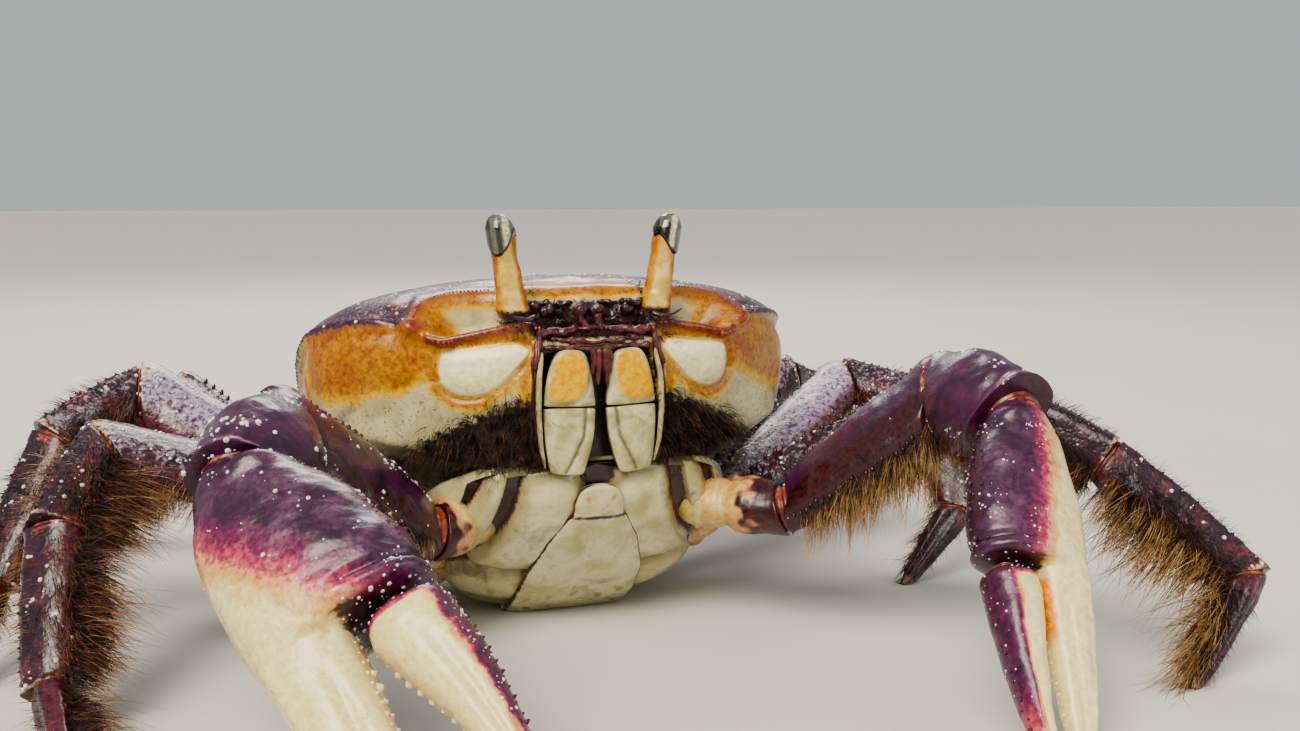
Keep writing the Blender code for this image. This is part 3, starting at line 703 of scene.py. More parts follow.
# %% Tree helpers
def new_tree(name, **inputs):
    """A Geometry Nodes tree with a geometry input and output, and named inputs with defaults."""
    tree = bpy.data.node_groups.new(name, "GeometryNodeTree")
    face = tree.interface
    face.new_socket("Geometry", in_out="INPUT", socket_type="NodeSocketGeometry")
    for label, value in inputs.items():
        kind = "NodeSocketMaterial" if value is None else (
            "NodeSocketInt" if isinstance(value, int) else "NodeSocketFloat")
        socket = face.new_socket(label, in_out="INPUT", socket_type=kind)
        if value is not None:
            socket.default_value = value
    face.new_socket("Geometry", in_out="OUTPUT", socket_type="NodeSocketGeometry")
    return tree, add(tree, "NodeGroupInput").outputs


def close_tree(tree, geometry, material):
    """Realizes the instances, gives them their material and sends them out."""
    plain = add(tree, "GeometryNodeRealizeInstances", {0: geometry})
    done = add(tree, "GeometryNodeSetMaterial", {0: plain.outputs[0], "Material": material})
    add(tree, "NodeGroupOutput", {0: done.outputs[0]})
    print(tree.name, len(tree.nodes), "nodes")
    return tree

# %% Granules scattered over a skin, by the mask `chalk`
tree, ins = new_tree("granules", Density=1e6, Smallest=0.1e-3, Largest=0.3e-3, Flatness=0.7,
                     Seed=1, Finish=None)
chalk = add(tree, "GeometryNodeInputNamedAttribute", {"Name": "chalk"}, 0)
spread = add(tree, "ShaderNodeMath", {0: ins["Density"], 1: chalk}, 0, operation="MULTIPLY")
points = add(tree, "GeometryNodeDistributePointsOnFaces",
             {"Mesh": ins["Geometry"], "Density": spread, "Seed": ins["Seed"]})
bead = add(tree, "GeometryNodeMeshIcoSphere", {"Radius": 1.0}, "Mesh")
smooth = add(tree, "GeometryNodeSetShadeSmooth", {0: bead}, 0)
# The square of an even chance leaves many fine grains and a few big knobs, as on the shell.
chance = add(tree, "FunctionNodeRandomValue", {2: 0.0, 3: 1.0, "Seed": ins["Seed"]}, 1)
rare = add(tree, "ShaderNodeMath", {0: chance, 1: 2.0}, 0, operation="POWER")
size = add(tree, "ShaderNodeMix", {0: rare, 2: ins["Smallest"], 3: ins["Largest"]}, 0)
shape = add(tree, "ShaderNodeCombineXYZ", {"X": 1.0, "Y": 1.0, "Z": ins["Flatness"]}, 0)
scale = add(tree, "ShaderNodeVectorMath", {0: shape, "Scale": size}, 0, operation="SCALE")
spots = add(tree, "GeometryNodeInstanceOnPoints",
            {"Points": points.outputs["Points"], "Instance": smooth,
             "Rotation": points.outputs["Rotation"], "Scale": scale}, 0)
GRANULES = close_tree(tree, spots, ins["Finish"])

# %% Studs along a path, which lean as `lean` says and are as large as `big` says
tree, ins = new_tree("studs", Spacing=0.8e-3, Radius=0.4e-3, Tall=1.0, Uneven=0.2, Detail=2,
                     Seed=1, Finish=None)
path = add(tree, "GeometryNodeMeshToCurve", {"Mesh": ins["Geometry"]}, 0)
even = add(tree, "GeometryNodeResampleCurve", {"Curve": path, "Length": ins["Spacing"]}, 0, mode="LENGTH")
ball = add(tree, "GeometryNodeMeshIcoSphere", {"Radius": 1.0, "Subdivisions": ins["Detail"]}, "Mesh")
place = add(tree, "GeometryNodeInputPosition", None, 0)
level = add(tree, "ShaderNodeSeparateXYZ", {0: place}, "Z")
# The upper half of the ball is drawn in as it rises, which makes a blunt tooth of it.
upper = add(tree, "ShaderNodeMath", {0: level, 1: 0.0}, 0, operation="MAXIMUM")
lower = add(tree, "ShaderNodeMath", {0: level, 1: 0.0}, 0, operation="MINIMUM")
thin = add(tree, "ShaderNodeMath", {0: upper, 1: -0.55, 2: 1.0}, 0, operation="MULTIPLY_ADD")
tall = add(tree, "ShaderNodeMath", {0: upper, 1: ins["Tall"], 2: lower}, 0, operation="MULTIPLY_ADD")
slim = add(tree, "ShaderNodeCombineXYZ", {"X": thin, "Y": thin}, 0)
flat = add(tree, "ShaderNodeVectorMath", {0: place, 1: slim}, 0, operation="MULTIPLY")
high = add(tree, "ShaderNodeCombineXYZ", {"Z": tall}, 0)
shaped = add(tree, "ShaderNodeVectorMath", {0: flat, 1: high}, 0)
tooth = add(tree, "GeometryNodeSetPosition", {"Geometry": ball, "Position": shaped}, 0)
smooth = add(tree, "GeometryNodeSetShadeSmooth", {0: tooth}, 0)
way = add(tree, "GeometryNodeInputNamedAttribute", {"Name": "lean"}, 0, data_type="FLOAT_VECTOR")
slack = np.array((0.15, 0.15, 0.15))
stray = add(tree, "FunctionNodeRandomValue", {0: -slack, 1: slack, "Seed": ins["Seed"]}, 0,
            data_type="FLOAT_VECTOR")
lean = add(tree, "ShaderNodeVectorMath", {0: way, 1: stray}, 0)
turn = add(tree, "FunctionNodeAlignRotationToVector", {"Vector": lean}, 0, axis="Z")
small = add(tree, "ShaderNodeMath", {0: 1.0, 1: ins["Uneven"]}, 0, operation="SUBTRACT")
chance = add(tree, "FunctionNodeRandomValue", {2: small, 3: 1.0, "Seed": ins["Seed"]}, 1)
size = add(tree, "ShaderNodeMath", {0: ins["Radius"], 1: chance}, 0, operation="MULTIPLY")
big = add(tree, "GeometryNodeInputNamedAttribute", {"Name": "big"}, 0)
size = add(tree, "ShaderNodeMath", {0: size, 1: big}, 0, operation="MULTIPLY")
spots = add(tree, "GeometryNodeInstanceOnPoints",
            {"Points": even, "Instance": smooth, "Rotation": turn, "Scale": size}, 0)
STUDS = close_tree(tree, spots, ins["Finish"])

# %% Bristles where `coat` says, as long as `reach` says, combed along `comb`
tree, ins = new_tree("bristles", Density=2e6, Length=4e-3, Thickness=0.07e-3, Lift=0.4, Bend=0.3,
                     Tangle=0.25, Seed=1, Finish=None)
read = {}
for name, kind in (("coat", "FLOAT"), ("reach", "FLOAT"), ("comb", "FLOAT_VECTOR"),
                   ("unwrap", "FLOAT_VECTOR")):
    read[name] = add(tree, "GeometryNodeInputNamedAttribute", {"Name": name}, 0, data_type=kind)
spread = add(tree, "ShaderNodeMath", {0: ins["Density"], 1: read["coat"]}, 0, operation="MULTIPLY")
points = add(tree, "GeometryNodeDistributePointsOnFaces",
             {"Mesh": ins["Geometry"], "Density": spread, "Seed": ins["Seed"]})
chance = {}
for name, low, high, shift in (("hue", 0.0, 1.0, 7), ("size", 0.55, 1.1, 3)):
    seed = add(tree, "ShaderNodeMath", {0: ins["Seed"], 1: shift}, 0)
    chance[name] = add(tree, "FunctionNodeRandomValue", {2: low, 3: high, "Seed": seed}, 1)
rooted = add(tree, "GeometryNodeStoreNamedAttribute",
             {"Geometry": points.outputs["Points"], "Name": "root", "Value": read["unwrap"]}, 0,
             data_type="FLOAT_VECTOR")
hued = add(tree, "GeometryNodeStoreNamedAttribute",
           {"Geometry": rooted, "Name": "hue", "Value": chance["hue"]}, 0)
# One hair, a unit tall: a line of four points, bowed, tapered and given three sides.
line = add(tree, "GeometryNodeCurvePrimitiveLine", {"Start": (0, 0, 0), "End": (0, 0, 1)}, 0)
even = add(tree, "GeometryNodeResampleCurve", {"Curve": line, "Count": 4}, 0)
part = add(tree, "GeometryNodeSplineParameter", None, "Factor")
noted = add(tree, "GeometryNodeStoreNamedAttribute", {"Geometry": even, "Name": "along", "Value": part}, 0)
square = add(tree, "ShaderNodeMath", {0: part, 1: 2.0}, 0, operation="POWER")
across = add(tree, "ShaderNodeMath", {0: ins["Bend"], 1: square}, 0, operation="MULTIPLY")
aside = add(tree, "ShaderNodeCombineXYZ", {"X": across}, 0)
bent = add(tree, "GeometryNodeSetPosition", {"Geometry": noted, "Offset": aside}, 0)
steep = add(tree, "ShaderNodeMath", {0: part, 1: 1.6}, 0, operation="POWER")
taper = add(tree, "ShaderNodeMath", {0: steep, 1: -0.88, 2: 1.0}, 0, operation="MULTIPLY_ADD")
ratio = add(tree, "ShaderNodeMath", {0: ins["Thickness"], 1: ins["Length"]}, 0, operation="DIVIDE")
slender = add(tree, "GeometryNodeSetCurveRadius", {0: bent, "Radius": taper}, 0)
section = add(tree, "GeometryNodeCurvePrimitiveCircle", {"Resolution": 3, "Radius": ratio}, 0)
hair = add(tree, "GeometryNodeCurveToMesh", {"Curve": slender, "Profile Curve": section, "Fill Caps": True})
tree.links.new(taper, hair.inputs["Scale"])
# Its way lies between the skin's outward direction and the comb, with some stray.
flatness = add(tree, "ShaderNodeMath", {0: 1.0, 1: ins["Lift"]}, 0, operation="SUBTRACT")
up = add(tree, "ShaderNodeVectorMath", {0: points.outputs["Normal"], "Scale": ins["Lift"]}, 0,
         operation="SCALE")
flat = add(tree, "ShaderNodeVectorMath", {0: read["comb"], "Scale": flatness}, 0, operation="SCALE")
stray = add(tree, "FunctionNodeRandomValue", {0: (-1, -1, -1), 1: (1, 1, 1),
                                              "Seed": ins["Seed"]}, 0, data_type="FLOAT_VECTOR")
stray = add(tree, "ShaderNodeVectorMath", {0: stray, "Scale": ins["Tangle"]}, 0, operation="SCALE")
way = add(tree, "ShaderNodeVectorMath", {0: up, 1: flat}, 0)
way = add(tree, "ShaderNodeVectorMath", {0: way, 1: stray}, 0)
turn = add(tree, "FunctionNodeAlignRotationToVector", {"Vector": way}, 0, axis="Z")
roll = add(tree, "FunctionNodeAlignRotationToVector", {"Rotation": turn, "Vector": read["comb"]},
           0, axis="X", pivot_axis="Z")
size = add(tree, "ShaderNodeMath", {0: ins["Length"], 1: read["reach"]}, 0, operation="MULTIPLY")
size = add(tree, "ShaderNodeMath", {0: size, 1: chance["size"]}, 0, operation="MULTIPLY")
spots = add(tree, "GeometryNodeInstanceOnPoints",
            {"Points": hued, "Instance": hair.outputs[0], "Rotation": roll, "Scale": size}, 0)
BRISTLES = close_tree(tree, spots, ins["Finish"])

# %% Growing a tree on a base mesh, and keeping the result as plain mesh
def grown(name, base, tree, finish, **values):
    """Runs a tree on a copy of the base and returns the plain mesh that it makes."""
    host = placed(name + "_host", base)
    modifier = host.modifiers.new("grow", "NODES")
    modifier.node_group = tree
    names = {item.name: item.identifier for item in tree.interface.items_tree if item.in_out == "INPUT"}
    for label, value in values.items():
        modifier[names[label]] = value
    modifier[names["Finish"]] = finish
    evaluated = host.evaluated_get(bpy.context.evaluated_depsgraph_get())
    mesh = bpy.data.meshes.new_from_object(evaluated)
    bpy.data.objects.remove(host)
    mesh.name = name
    return placed(name, mesh)


def joined(name, bodies):
    """Joins mesh objects into one, which keeps the values that their points carry."""
    with bpy.context.temp_override(active_object=bodies[0], selected_objects=bodies,
                                   selected_editable_objects=bodies):
        bpy.ops.object.join()
    bodies[0].name = name
    bodies[0].data.name = name
    return bodies[0]


pieces = []


def keep(obj, slot, *nodes, finish=None):
    """Gives a finished piece its finish, ties it to the root, hides the CAD nodes it stands for and reports
    it. The slot is not used.
    """
    if finish:
        obj.data.materials.clear()
        obj.data.materials.append(finish)
    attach(obj, "root")
    if nodes:
        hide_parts(*nodes)
    pieces.append(obj)
    print(obj.name, len(obj.data.polygons), "faces")


def read_out(rows, field, width, kind=np.float32):
    """The named values of vertices, loops or an attribute, as rows of `width`."""
    values = np.empty(len(rows) * width, kind)
    rows.foreach_get(field, values)
    return values.reshape(-1, width)


def boxed(obj):
    """Keeps every hair tip inside the CAD box."""
    low, high = np.array(cad_box)
    spots = np.clip(read_out(obj.data.vertices, "co", 3), low + (2e-4, 2e-4, 1e-5), high - 2e-4)
    obj.data.vertices.foreach_set("co", spots.astype(np.float32).ravel())
    obj.data.update()
    return obj


PATCH = 0.003


def baked_roots(obj, strip, strips):
    """Gives each hair a UV patch at its root's place on the unwrapped skin, in a strip of the map."""
    mesh = obj.data
    along = read_out(mesh.attributes["along"].data, "value", 1)[:, 0]
    corner = (np.arange(len(along)) % 3) / 3.0
    place = read_out(mesh.attributes["root"].data, "vector", 3)[:, :2]
    place = np.clip(place + (np.stack([corner, along], 1) - 0.5) * PATCH, 0, 1)
    place[:, 1] = (place[:, 1] + strip) / strips
    loops = read_out(mesh.loops, "vertex_index", 1, np.int32)[:, 0]
    for layer in list(mesh.uv_layers):
        mesh.uv_layers.remove(layer)
    layer = mesh.uv_layers.new(name="OFBake")
    layer.uv.foreach_set("vector", place[loops].astype(np.float32).ravel())


def granules(skin, density, small, large, flatness=0.75, seed=3):
    """Worn chalk beads on a skin: so many to the square millimetre, from small to large in mm."""
    return grown("grain", skin.data, GRANULES, CHALK, Density=density * 1e6, Smallest=small * MM,
                 Largest=large * MM, Flatness=flatness, Seed=seed)


def studded(finish, points, lean, radius, spacing, tall, seed, big=1.0, uneven=0.4, detail=1):
    """A row of studs along a path of points; each leans its own way and has its own size."""
    mesh = bpy.data.meshes.new("path")
    steps = [(i, i + 1) for i in range(len(points) - 1)]
    mesh.from_pydata([tuple(p * MM) for p in points], steps, [])
    for name, kind, field, rows in (
            ("lean", "FLOAT_VECTOR", "vector", np.broadcast_to(lean, points.shape)),
            ("big", "FLOAT", "value", np.broadcast_to(big, len(points)))):
        values_at = mesh.attributes.new(name, kind, "POINT").data
        values_at.foreach_set(field, rows.astype(np.float32).ravel())
    return grown("row", mesh, STUDS, finish, Spacing=spacing * MM, Radius=radius * MM, Tall=tall,
                 Uneven=uneven, Detail=detail, Seed=seed)


keep(carapace, "carapace_shell", "carapace")

# %% [markdown]
# ## Beads, bars and feelers of the face
#
# Under each eye the hollow's lower lip carries a row of red-brown beads. Between the eyes lie the
# folded small feelers in two pits, dark wine and wet, and under them the red bars of the epistome,
# the sill over the mouth. These sit on the face, so each is swept along a path whose points are
# looked up on the shell itself.

# %% Finding places on the shell, and sweeping bars and lumps
front_points = shell[frontal > 0.2]
front_places = front_points[:, [0, 2]]


def on_face(x, z, out):
    """The shell's own point at this x and height, brought forward by `out` mm."""
    spots = []
    for place in np.stack(np.broadcast_arrays(x, z), -1).reshape(-1, 2):
        apart = np.linalg.norm(front_places - place, axis=1)
        close = np.argpartition(apart, 4)[:4]
        share = 1 / (apart[close] + 0.02)
        ahead = (front_points[close, 1] * share).sum() / share.sum()
        spots.append((place[0], ahead - out, place[1]))
    return np.array(spots)


def swept(path, wide, tall=None, *, rows, up=(0, 0, 1), count=18, blunt=0.8, lumps=0.0):
    """A bar with rounded ends along a smooth path; its radii may vary along it."""
    part = np.linspace(0, 1, rows)
    line = smoothed(sampled(part, np.linspace(0, 1, len(path)), path), 3)
    along = unit(np.gradient(line, axis=0))
    side = unit(np.cross(along, up))
    tip = np.clip((np.abs(2 * part - 1) - blunt) / (1 - blunt), 0, 0.985)
    end = np.sqrt(1 - tip ** 2)
    wide, tall = [np.interp(part, np.linspace(0, 1, np.size(radii)), np.ravel(radii)) * end
                  for radii in (wide, wide if tall is None else tall)]
    turn = around(count)
    rings = rings_about(line, np.cross(side, along), np.outer(tall, np.cos(turn)),
                        side, np.outer(wide, np.sin(turn)))
    bumps = lumps * ripple(rings, 1.6, 11) * end[:, None]
    return lofted("bar", rings + unit(rings - line[:, None]) * bumps[..., None])


print("places on the face:", len(front_places))

# %% Bead rows under and over the eyes
beads = []
for hand in (-1, 1):
    for line, out, radius, spacing, seed in ((LOWER_RIM, 0.62, 0.42, 0.80, 3),
                                             (UPPER_RIM[1:5], 0.15, 0.22, 0.60, 5)):
        part = np.linspace(0, len(line) - 1, 40)
        x, z = sampled(part, range(len(line)), line).T
        beads.append(studded(AMBER_BEADS, on_face(x * hand, z, out), (0, -1, 0.25), radius, spacing,
                             1.3, seed, 0.75 + 0.25 * np.sin(part * 2.1), uneven=0.3, detail=2))
keep(joined("orbit_beads", beads), "carapace_shell")

# %% Feeler lumps and the epistome
# Each lump: distance from the middle, height, half width and half height.
LUMPS = ((1.2, 48.9, 0.75, 1.5), (3.6, 50.0, 1.9, 0.5), (3.5, 47.5, 1.7, 0.6), (6.2, 48.9, 1.0, 1.3),
         (8.1, 49.9, 1.2, 0.9), (8.6, 48.2, 1.3, 0.8), (10.6, 48.6, 1.0, 0.9), (6.6, 50.1, 1.4, 0.5),
         (9.6, 50.2, 1.0, 0.6), (5.2, 47.2, 1.0, 0.5))
FEELER = np.array(((8.9, -29.4, 48.6), (10.2, -30.4, 48.2), (12.0, -30.6, 48.5), (13.6, -30.2, 49.3)))
lumps = []
for hand in (-1, 1):
    for i, (x, z, wide, tall) in enumerate(LUMPS):
        reach = np.linspace(-1, 1, 7)
        lean = 0.3 * (-1) ** i
        path = on_face(hand * (x + wide * reach * 0.9), z + lean * reach * tall, 0.15)
        path[:, 1] = path[:, 1].mean() - 0.35 * (1 - reach ** 2)
        lumps.append(swept(path, (tall * 0.5, tall * 0.9, tall * 0.6), tall * 0.7, count=14,
                           rows=22, blunt=0.3, lumps=0.3))
    lumps.append(swept(FEELER * (hand, 1, 1), (0.42, 0.34, 0.22, 0.10), count=10, rows=30, lumps=0.05))
keep(joined("folded_feelers", lumps), "carapace_shell", finish=FLESH)

bars = []
for z, sag, out, radius, half in ((46.4, 0.30, 0.30, 0.66, 9.0), (45.0, -0.25, 0.35, 0.38, 7.2),
                                  (44.2, 0.20, 0.30, 0.34, 8.2)):
    x = np.linspace(-half, half, 15)
    path = on_face(x, z + sag * np.cos(x * 0.5) + 0.16 * np.sin(x * 1.7), out)
    swell = radius * (1 + 0.35 * np.sin(np.linspace(0, 9, 19)))
    bars.append(swept(path, swell, swell * 0.8, rows=110, blunt=0.94, lumps=0.18))
STRUTS = ((9.2, -0.06, 39.0, 47.0, 0.5), (9.9, -0.2, 41.0, 46.6, 0.34), (1.0, 0.3, 46.4, 49.8, 0.55))
for hand in (-1, 1):
    for x, slant, bottom, head, radius in STRUTS:
        z = np.linspace(bottom, head, 8)
        path = on_face(hand * (x + slant * (z - bottom)), z, 0.35)
        path[:, 1] = np.minimum(path[:, 1], path[:, 1].mean() + 0.3)
        bars.append(swept(path, (radius, radius * 1.2, radius * 0.7), up=(1, 0, 0), rows=30, lumps=0.16))
keep(joined("epistome_bars", bars), "carapace_shell", finish=REDWORK)

# %% [markdown]
# ## Mouth plates
#
# The outer pair of mouth legs (third maxillipeds) closes over the mouth like two doors, each of
# two flat joints: the merus above, with an orange panel, and the longer ischium below, with one
# slanting groove. A plate is an outline that shrinks to its middle in rings while it rises in a
# low dome, so it gets a true edge and thickness.

# %% Plates with an outline and a crown
MERUS = ((2.1, 42.9), (3.0, 43.8), (5.9, 43.9), (6.9, 43.0), (8.0, 40.4), (8.6, 36.0), (8.4, 35.65),
         (1.0, 35.45), (0.85, 35.8), (1.4, 40.6))
ISCHIUM = ((0.85, 35.0), (1.1, 35.25), (8.4, 35.45), (8.6, 35.2), (8.5, 31.0), (7.9, 26.6), (7.4, 25.8),
           (3.2, 25.4), (2.6, 26.0), (1.2, 30.6))
PANEL = rounded(((2.4, 43.8), (6.6, 43.8), (7.6, 40.4), (8.3, 36.8), (5.4, 36.0), (2.6, 37.2),
                 (1.9, 40.7)), 2)
SULCUS = ((2.3, 35.0), (2.8, 31.0), (5.4, 26.0))
SLIP = np.array(((8.6, -31.6, 43.6), (9.25, -32.2, 40.0), (9.45, -32.4, 35.0), (9.1, -32.2, 30.0),
                 (8.3, -31.6, 26.6)))
# The rings run from the back's middle, over the edge, to the front's middle.
front = np.sin(np.linspace(math.pi / 2, 0.06, 28))
share = np.concatenate([np.linspace(0.08, 0.98, 4), front])[:, None, None]
lift = np.concatenate([np.full(4, -1.5), 0.75 * np.sqrt(1 - front ** 3.2)])[:, None]
for hand, word in ((-1, "right"), (1, "left")):
    doors = []
    for upper, outline in ((True, MERUS), (False, ISCHIUM)):
        line = rounded(np.array(outline) * (hand, 1), 2)
        line = np.vstack([line, line[:1]])
        walk = walked(line)
        line = sampled(np.linspace(0, walk[-1], 116, endpoint=False), walk, line)
        places = line.mean(0) + share * (line - line.mean(0))
        x, z = np.moveaxis(places, -1, 0)
        panel, fold = inside(np.abs(places), PANEL), off_line(np.abs(places), SULCUS)
        relief = -0.42 * hump(fold, 0, 0.4)
        if upper:
            relief = 0.22 * step(panel, -0.6, 0.5) - 0.16 * hump(panel, -0.4, 0.3)
        ahead = -32.35 + 0.006 * x ** 2 + 0.03 * (z - 36) - lift - relief * (lift >= 0)
        door = lofted("door", np.stack([x, ahead, z], -1))
        # Painted shade: in the lower plate's groove, and darker on each plate's rim where it turns back.
        paint(door, orange=step(panel, -0.3, 0.6) * upper, soil=step(ahead, -32.3, -31.4),
              shade=0.8 * hump(fold, 0, 0.35) * (not upper))
        doors.append(door)
    slip = swept(SLIP * (hand, 1, 1), (0.3, 0.42, 0.44, 0.36, 0.2), 0.5, up=(0, 1, 0), rows=60)
    paint(slip, shade=np.full((60, 18), 0.45))
    doors.append(slip)
    keep(joined("mouth_plate_" + word, doors), "mouth_plate", "maxilliped_" + word, finish=MOUTH_PLATE)
GAP_STRIP = np.array(((9.9, -31.2, 43.0), (10.1, -31.5, 37.0), (9.6, -31.5, 31.0)))
palps = []
for hand in (-1, 1):
    for x, head, bottom, ahead in ((0.55, 44.0, 38.6, -33.0), (1.2, 43.9, 40.2, -32.6)):
        z = np.linspace(head, bottom, 6)
        path = np.stack([hand * (x + 0.15 * np.sin(z)), 0 * z + ahead, z], 1)
        palps.append(swept(path, (0.5, 0.55, 0.45, 0.2), up=(0, 1, 0), rows=36, lumps=0.06))
    palps.append(swept(GAP_STRIP * (hand, 1, 1), (0.25, 0.32, 0.2), up=(0, 1, 0), rows=40, lumps=0.04))
keep(joined("mouth_palps", palps), "mouth_plate", finish=REDWORK)

# %% [markdown]
# ## Eyestalks and eyes
#
# The stalks fold into the hollows, and here stand up. Each is orange skin over a stiff core, painted
# darker as shade at its base, and the eye wraps round its outer front like a thimble worn askew.
# The eye's dark stripe is painted where the facets point straight at the viewer, which swallow light
# and throw none back, and the lens carries a painted pale reflection on one side and painted shade
# on the other.

# %% Stalk and cornea
EYE_X = 11.3
LENS_WAY = (0.55, -0.80, 0.40)


def stalk_rings(hand, sections, count, rows):
    """Round sections, given as height and radius, up one stalk, which leans out as it rises."""
    knots, radii = np.transpose(sections)
    z = np.interp(np.linspace(0, 1, rows), np.linspace(0, 1, len(knots)), knots)
    radius = smoothed(np.interp(z, knots, radii), 4)
    rise = z - 50.6
    middle = np.stack([hand * (EYE_X + 0.16 * rise), -24.9 - 0.02 * rise, z], 1)
    turn = around(count)
    return rings_about(middle, (1, 0, 0), np.outer(radius, np.cos(turn)),
                       (0, 1, 0), np.outer(radius, np.sin(turn)))


STALK_SECTIONS = ((47.4, 1.2), (48.0, 2.4), (49.4, 2.5), (51, 2.25), (54, 2.0), (57, 1.95), (59, 2.0),
                  (61.0, 1.95), (62.2, 1.5), (62.9, 0.8))
LENS_SECTIONS = ((55.8, 1.85), (57, 1.85), (59, 1.9), (61.2, 1.85), (62.3, 1.4), (62.9, 0.9), (63.25, 0.3))
for hand, word in ((-1, "right"), (1, "left")):
    rings = stalk_rings(hand, STALK_SECTIONS, 48, 110)
    away = unit(rings - rings.mean(1, keepdims=True))
    z = rings[..., 2]
    wrinkles = 0.10 * ripple(rings, 3.4, 21) + 0.05 * np.sin(z * 3.1) * step(z, 54, 51)
    rings = rings + away * wrinkles[..., None]
    z = rings[..., 2]
    stalk = lofted("eyestalk_" + word + "_skin", rings)
    amber = 0.2 + 0.85 * step(np.abs(away[..., 0] + 0.15), 0.35, 1.0) + 0.35 * step(z, 55, 60)
    # Painted shade darkens the stalk's base, down in its hollow.
    paint(stalk, orange=np.clip(amber, 0, 1), soil=0.85 * step(z, 50.2, 48.6))
    keep(stalk, "stalk_skin", "eyestalk_" + word, finish=STALK)

    way = unit(np.array(LENS_WAY) * (hand, 1, 1))
    lens = stalk_rings(hand, LENS_SECTIONS, 72, 90)
    middle = lens.mean(1, keepdims=True)
    apart = lens - np.array([hand * (EYE_X + 1.5), -25.1, 59.9]) - way * 1.9
    oval = 1 - (apart @ unit(np.cross(way, (0, 0, 1))) / 2.0) ** 2 - ((apart[..., 2] - 0.1) / 3.9) ** 2
    oval = np.where(apart @ way < -2.6, -1.0, oval)
    lens = lens + unit(lens - middle) * (0.75 * step(oval, -0.1, 0.3) - 0.35)[..., None]
    eye = lofted("eye_" + word + "_cornea", lens)
    across = (lens - middle) @ np.array([math.cos(0.35), -math.sin(0.35), 0.0])
    facing = (lens - middle) @ unit((-0.28, -0.95, 0.0))
    # Painted dark stripe where the facets face the camera, and a dark rim round the lens.
    stripe = hump(across, 0.1 * hand, 0.42) * step(facing, 0.0, 0.6) * step(lens[..., 2], 62.4, 61.6)
    stripe = np.maximum(stripe, step(oval, 0.42, 0.22))
    # Painted reflection: a pale patch on the lens's right side; painted shade on its left.
    paint(eye, stripe=np.clip(stripe, 0, 1), pale=hump(across, 1.0, 0.55) * step(oval, 0.2, 0.5),
          shade=step(-across, 0.7, 1.7))
    keep(eye, "cornea", "eye_" + word, finish=CORNEA)
print("eyes stand at", round(float(lens[..., 2].max()), 1), "mm")

# %% [markdown]
# ## Breast and tail flap
#
# Underneath, the breast (sternum) is a row of hard plates with deep gaps between them, painted
# dark brown as shade, and the narrow tail flap of the male lies folded forward in a trough along
# its middle. The breast is one loft with the gaps pressed into it by outlines, so its plates fan out
# on each side.

# %% The breast
BELLY_LINE = np.array(((-10.2, -23.6, 16.0), (-8, -26.2, 19.5), (-4, -28.6, 22.5), (2, -30.2, 24.0),
                       (9, -31.1, 23.5), (15, -31.0, 22.0), (20.5, -30.3, 20.0), (26, -26.2, 17.0),
                       (31, -21.9, 14.0), (35, -18.3, 12.0)))
PLATES = [rounded(outline, 2) for outline in (
    ((3.0, 25.6), (10.2, 25.6), (11.0, 25.0), (11.5, 21.5), (12.4, 17.8), (14.4, 14.2), (18.0, 11.2),
     (17.6, 10.4), (12.4, 9.1), (7.0, 8.6), (3.0, 14.0), (2.0, 19.0)),
    ((13.2, 25.4), (13.6, 25.8), (16.0, 25.4), (18.2, 20.5), (21.5, 15.5), (21.0, 14.4), (18.2, 12.9),
     (17.3, 13.4), (15.1, 18.6)),
    ((18.6, 25.0), (22.5, 25.4), (24.0, 20.0), (25.0, 15.0), (22.6, 15.4), (20.6, 19.0)),
    ((5.0, 7.9), (12.0, 8.3), (17.0, 9.6), (20.0, 9.0), (20.6, 5.2), (18.6, 2.4), (5.0, 1.0)))]
line = sampled(np.linspace(0, 1, 124), np.linspace(0, 1, len(BELLY_LINE)), BELLY_LINE)
line = smoothed(line, 6)
turn = around(240, 0.5)
across, beside = squared(np.cos(turn), 3.2), squared(np.sin(turn), 3.2)
lid = LID_AT[1] + (line[:, 0] - LID_AT[0]) * LID_SLOPE
deep = (lid - line[:, 1])[:, None]
up, side = turned((0, 0, 1)), np.array([1.0, 0, 0])
middle = to_world(np.stack([0 * lid, line[:, 0], lid], 1))
rings = rings_about(middle, up, across * np.where(across > 0, np.minimum(deep, 2.0), deep),
                    side, np.outer(line[:, 2], beside))
places = np.stack([np.abs(rings[..., 0]), rings[..., 2]], -1)
under = step(across, -0.15, -0.5)[None]
tiles = np.max([inside(places, outline) for outline in PLATES], axis=0)
tiles = np.where(places[..., 1] < 2.4, 0.5, tiles)
body_y = to_body(rings)[..., 1]
fore = under * step(body_y, 19, 15)
ribs = hump(np.mod(body_y, 6.5), 3.2, 0.5) * step(body_y, 15, 20) * step(places[..., 0], 9.5, 11)
relief = under * (0.5 * step(tiles, 0.2, 3.0) - 0.6 * ribs) - 2.3 * step(tiles, 0.6, -0.4) * fore
relief += 0.08 * ripple(rings, 5.0, 31)
rings = rings - relief[..., None] * up * 0.9
rings[..., 2] = np.maximum(rings[..., 2], 0.02)
sternum = lofted("breast_plates", rings)
# Painted shade: dark brown in the gaps between the front plates; greyer along the plates' edges, in the rib
# grooves and on the upper side that tucks under the shell.
paint(sternum, soil=np.minimum(step(tiles, 0.25, -0.5) * fore, 0.93),
      orange=0.3 * hump(tiles, 0.0, 0.5) * fore,
      shade=np.clip(0.5 * (1 - under) + 0.7 * ribs + 0.6 * hump(tiles, 0.1, 1.5) * under, 0, 1))
keep(sternum, "belly_shell", "sternum", finish=BELLY)

